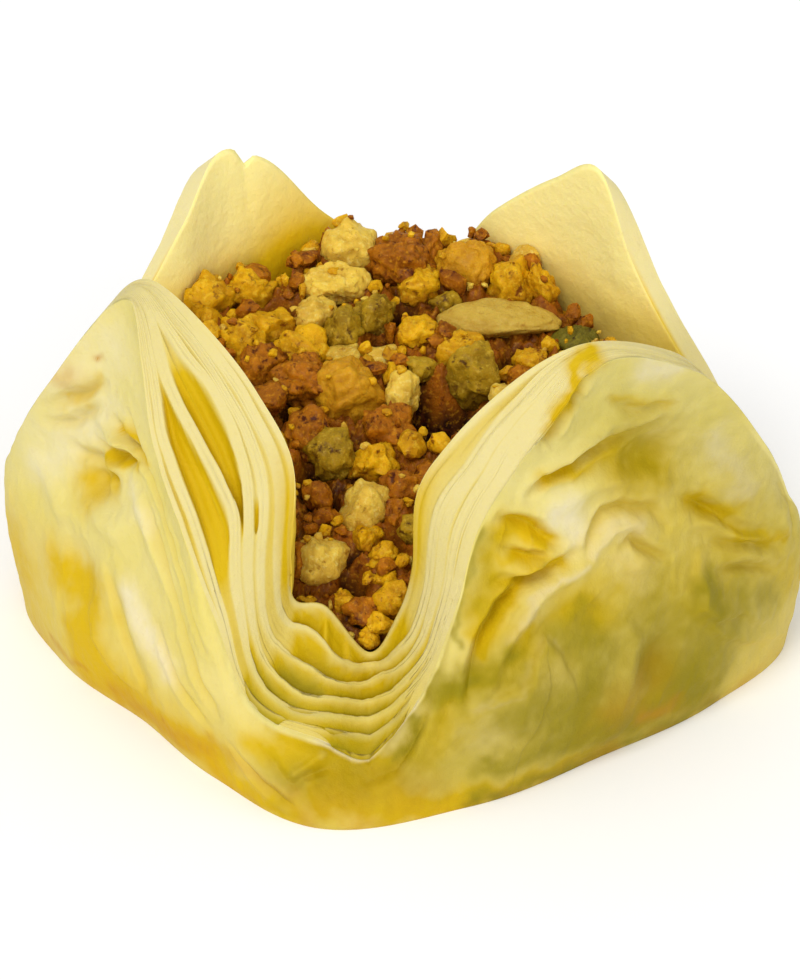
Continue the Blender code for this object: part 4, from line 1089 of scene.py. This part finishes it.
def make_bed(material):
    """The crumbly mass between the nuts: a knobby surface a little below their tops, with
    pits at the holes, darkened with painted shade in its hollows and the holes, closed
    underneath along the wall of the cavity; gives back the points of its top."""
    _, controls = skin_controls(np.arange(BED_TURNS) / BED_TURNS)
    _, rim = inner_wall()
    side = bed_side(controls, rim)
    inward = np.linspace(0.985, 0.015, BED_ROWS)[None, :, None]
    top = side[:, -1:] * np.concatenate([inward, inward, inward * 0], 2)
    blend = beneath(inward[..., 0], 1, 0.12)
    top[..., 2] = side[:, -1:, 2] * (1 - blend) + (heap_top(top, rim) - BED_DROP) * blend
    lumps = 1.7 * knobs(top, 2.6, 71) + 0.7 * knobs(top, 0.9, 75) + 0.25 * knobs(top, 0.4, 79)
    hole = in_hole(top[..., 0], top[..., 1])
    top[..., 2] += (lumps - 1.0 - HOLE_DEPTH * hole) * beneath(inward[..., 0], 1, 0.06)
    # painted shade: darker in the hollows between the lumps and in the holes
    hollow = np.concatenate([0 * side[..., 0], np.clip(1.5 - lumps / 0.95 + 1.2 * hole, 0, 1)], 1)
    body = closed_body(np.concatenate([side, top], 1), [0, 0, CAVITY_FLOOR + BED_OFF_WALL],
                       [0, 0, heap_height(0.0) - 0.8])
    painted_shade_and_tone = np.append(hollow.T.ravel(), [1, 0.5])
    make_mesh("syrup_bed", *body, {"painted_shade_and_tone": painted_shade_and_tone}, material, "nut_filling")
    return top.reshape(-1, 3)


def feed(tree, node, inputs):
    """Gives each input of a node another node's output to follow, or a value."""
    for key, value in inputs.items():
        if isinstance(value, bpy.types.NodeSocket):
            tree.links.new(value, node.inputs[key])
        else:
            node.inputs[key].default_value = value


def add_node(tree, kind, inputs, **settings):
    """A shader node with its settings and inputs."""
    node = tree.nodes.new(kind)
    for key, value in settings.items():
        setattr(node, key, value)
    feed(tree, node, inputs)
    return node


def coats(tree, colour, layers):
    """Coats of colour laid one over another, each with its own strength. The inputs 0, 6 and 7
    of a mix of colours are its factor and the two colours, and the output 2 is the result."""
    for strength, coat in layers:
        mix = add_node(tree, "ShaderNodeMix", {0: strength, 6: colour, 7: coat}, data_type="RGBA")
        colour = mix.outputs[2]
    return colour


def patches(tree, place, size, low, high, detail=4.0, roughness=0.55, most=1.0):
    """Patches about size millimetres across: noise, drawn out so that low becomes 0 and high
    becomes most."""
    cloud = add_node(tree, "ShaderNodeTexNoise", {"Vector": place, "Scale": 1 / (size * MM),
                                                  "Detail": detail, "Roughness": roughness})
    spread_out = add_node(tree, "ShaderNodeMapRange", {0: cloud.outputs[0], 1: low, 2: high, 4: most})
    return spread_out.outputs[0]


def grain(tree, place, size, roughness, strength, height):
    """A fine relief whose grains are about size millimetres across, as a bent normal."""
    cloud = add_node(tree, "ShaderNodeTexNoise", {"Vector": place, "Scale": 1 / (size * MM),
                                                  "Detail": 5.0, "Roughness": roughness})
    bump = add_node(tree, "ShaderNodeBump", {"Height": cloud.outputs[0], "Strength": strength,
                                             "Distance": height * MM})
    return bump.outputs[0]


def new_material(name):
    """A material with its node tree, its shader and the place on the piece."""
    item = bpy.data.materials.new(name)
    item.use_nodes = True
    tree = item.node_tree
    place = add_node(tree, "ShaderNodeTexCoord", {}).outputs["Object"]
    return item, tree, tree.nodes["Principled BSDF"], place


def filo_material():
    """Buttered filo: pale yellow that turns deep gold where syrup soaks it and where painted
    shade lies in creases and gaps, an olive tone that is also painted shade on the lower front
    right lobe and in the low gaps, and toasted brown at the base; lighter inside the flaps high
    up and on some crests as painted light, with light that carries half a millimetre into the
    stack, fine wrinkles and tiny blisters."""
    item, tree, shader, place = new_material("buttered_filo")
    mask = {name: add_node(tree, "ShaderNodeAttribute", {}, attribute_name=name).outputs["Fac"]
            for name in ("inner", "bare", "syrup_and_shade", "green", "browned")}
    # the syrup gold, painted lighter and yellower inside the flaps high up as if lit through
    soaked = coats(tree, linear("#CBA806"), [(mask["inner"], linear("#F2C816"))])
    colour = coats(tree, linear("#D8CA80"), [
        (patches(tree, place, 6.0, 0.3, 0.7, 2.0), linear("#D4C46A")),
        # painted glow: the inside of the flaps is lighter high up
        (mask["inner"], linear("#FFF2A6")),
        # pale dry pastry and painted highlights
        (mask["bare"], linear("#DED4AE")),
        # syrup gold and painted shade in creases and gaps
        (mask["syrup_and_shade"], soaked),
        # olive tone and painted shade
        (mask["green"], linear("#887A08")),
        (mask["browned"], linear("#B67C10")),
        (patches(tree, place, 0.5, 0.62, 0.75, 3.0, most=0.12), linear("#B9922A")),
    ])
    feed(tree, shader, {
        "Base Color": colour,
        "Normal": grain(tree, place, 0.9, 0.6, 0.5, 0.25),
        "Roughness": 0.55,
        "Specular IOR Level": 0.12,
        "Subsurface Weight": 0.25,
        "Subsurface Radius": (1.0, 0.85, 0.2),
        "Subsurface Scale": 0.4 * MM,
    })
    return item


def nut_material(name, flesh, deep, skin, skin_share, light, speck=0.4):
    """Chopped nut in syrup: flesh darkened by painted shade between its knobs and underneath,
    pale specks that are partly broken grains and partly painted glints, flecks of papery skin,
    a thin wet coat and a rough grain."""
    item, tree, shader, place = new_material(name)
    painted_shade_and_tone_mask = add_node(tree, "ShaderNodeAttribute", {}, attribute_name="painted_shade_and_tone").outputs["Fac"]
    bare, skinned = 0.62 - 0.25 * skin_share, 0.72 - 0.2 * skin_share
    colour = coats(tree, linear(flesh), [
        (patches(tree, place, 1.8, 0.35, 0.65, most=0.5), linear(deep)),
        # painted shade between the knobs and underneath, with each piece's own tone
        (painted_shade_and_tone_mask, linear(deep)),
        # pale specks: broken grains and painted glints
        (patches(tree, place, 0.34, 0.54, 0.66, 3.0, 0.6, speck), linear(light)),
        (patches(tree, place, 0.8, bare, skinned, 5.0, 0.65), linear(skin)),
    ])
    feed(tree, shader, {
        "Base Color": colour,
        "Normal": grain(tree, place, 0.28, 0.65, 0.9, 0.22),
        "Roughness": 0.42,
        "Specular IOR Level": 0.1,
        "Subsurface Weight": 0.2,
        "Subsurface Radius": (1.0, 0.6, 0.15),
        "Subsurface Scale": 0.7 * MM,
        "Coat Weight": 0.08,
        "Coat Roughness": 0.25,
    })
    return item


def floor_material():
    """A plain matt white floor, which takes soft shadows."""
    item, tree, shader, _ = new_material("pale_floor")
    feed(tree, shader, {"Base Color": linear("#FFFFFF"), "Roughness": 0.9, "Specular IOR Level": 0.0})
    return item


def add_sun(name, energy, width, place):
    """A sun that shines from a place towards the piece, as wide as a large soft light."""
    light = bpy.data.lights.new(name, "SUN")
    light.energy, light.angle = energy, math.radians(width)
    item = bpy.data.objects.new(name, light)
    item.location = place
    item.rotation_euler = item.location.to_track_quat("Z", "Y").to_euler()
    bpy.context.scene.collection.objects.link(item)


def add_camera():
    """The camera at the photograph's angle: DISTANCE from its target, ELEVATION above it."""
    camera = bpy.data.cameras.new("camera")
    camera.lens, camera.sensor_width = LENS, SENSOR
    camera.clip_start, camera.clip_end = 0.01, 10
    item = bpy.data.objects.new("camera", camera)
    up = math.radians(ELEVATION)
    item.location = Vector(TARGET) - DISTANCE * Vector((0, math.cos(up), -math.sin(up)))
    item.rotation_euler = (math.radians(90 - ELEVATION), 0, 0)
    bpy.context.scene.collection.objects.link(item)
    bpy.context.scene.camera = item


def make_studio():
    """A wide white floor, an even white surround, a large soft sun from the upper left and
    front, a weaker and lower one from the front, and the camera."""
    bpy.ops.mesh.primitive_plane_add(size=4, location=(0, 0, 0))
    floor = bpy.context.object
    floor.name = "floor"
    floor.data.materials.append(floor_material())
    world = bpy.data.worlds.new("surround")
    world.use_nodes = True
    feed(world.node_tree, world.node_tree.nodes["Background"], {"Color": (1, 1, 1, 1), "Strength": SURROUND})
    bpy.context.scene.world = world
    for sun in SUNS:
        add_sun(*sun)
    add_camera()
    bpy.context.scene.view_settings.view_transform = "Standard"


def main():
    """The pastry, the bed, the nuts on it and the crumbs, and then the studio."""
    make_cup(filo_material())
    nuts = {kind: nut_material(*look) for kind, look in NUT_LOOKS.items()}
    bed = make_bed(nut_material(*BED_LOOK))
    tops = make_nuts(nuts, bed)
    make_crumbs({kind: nuts[kind] for kind in CRUMB_SHARES}, bed, tops)
    make_studio()


main()
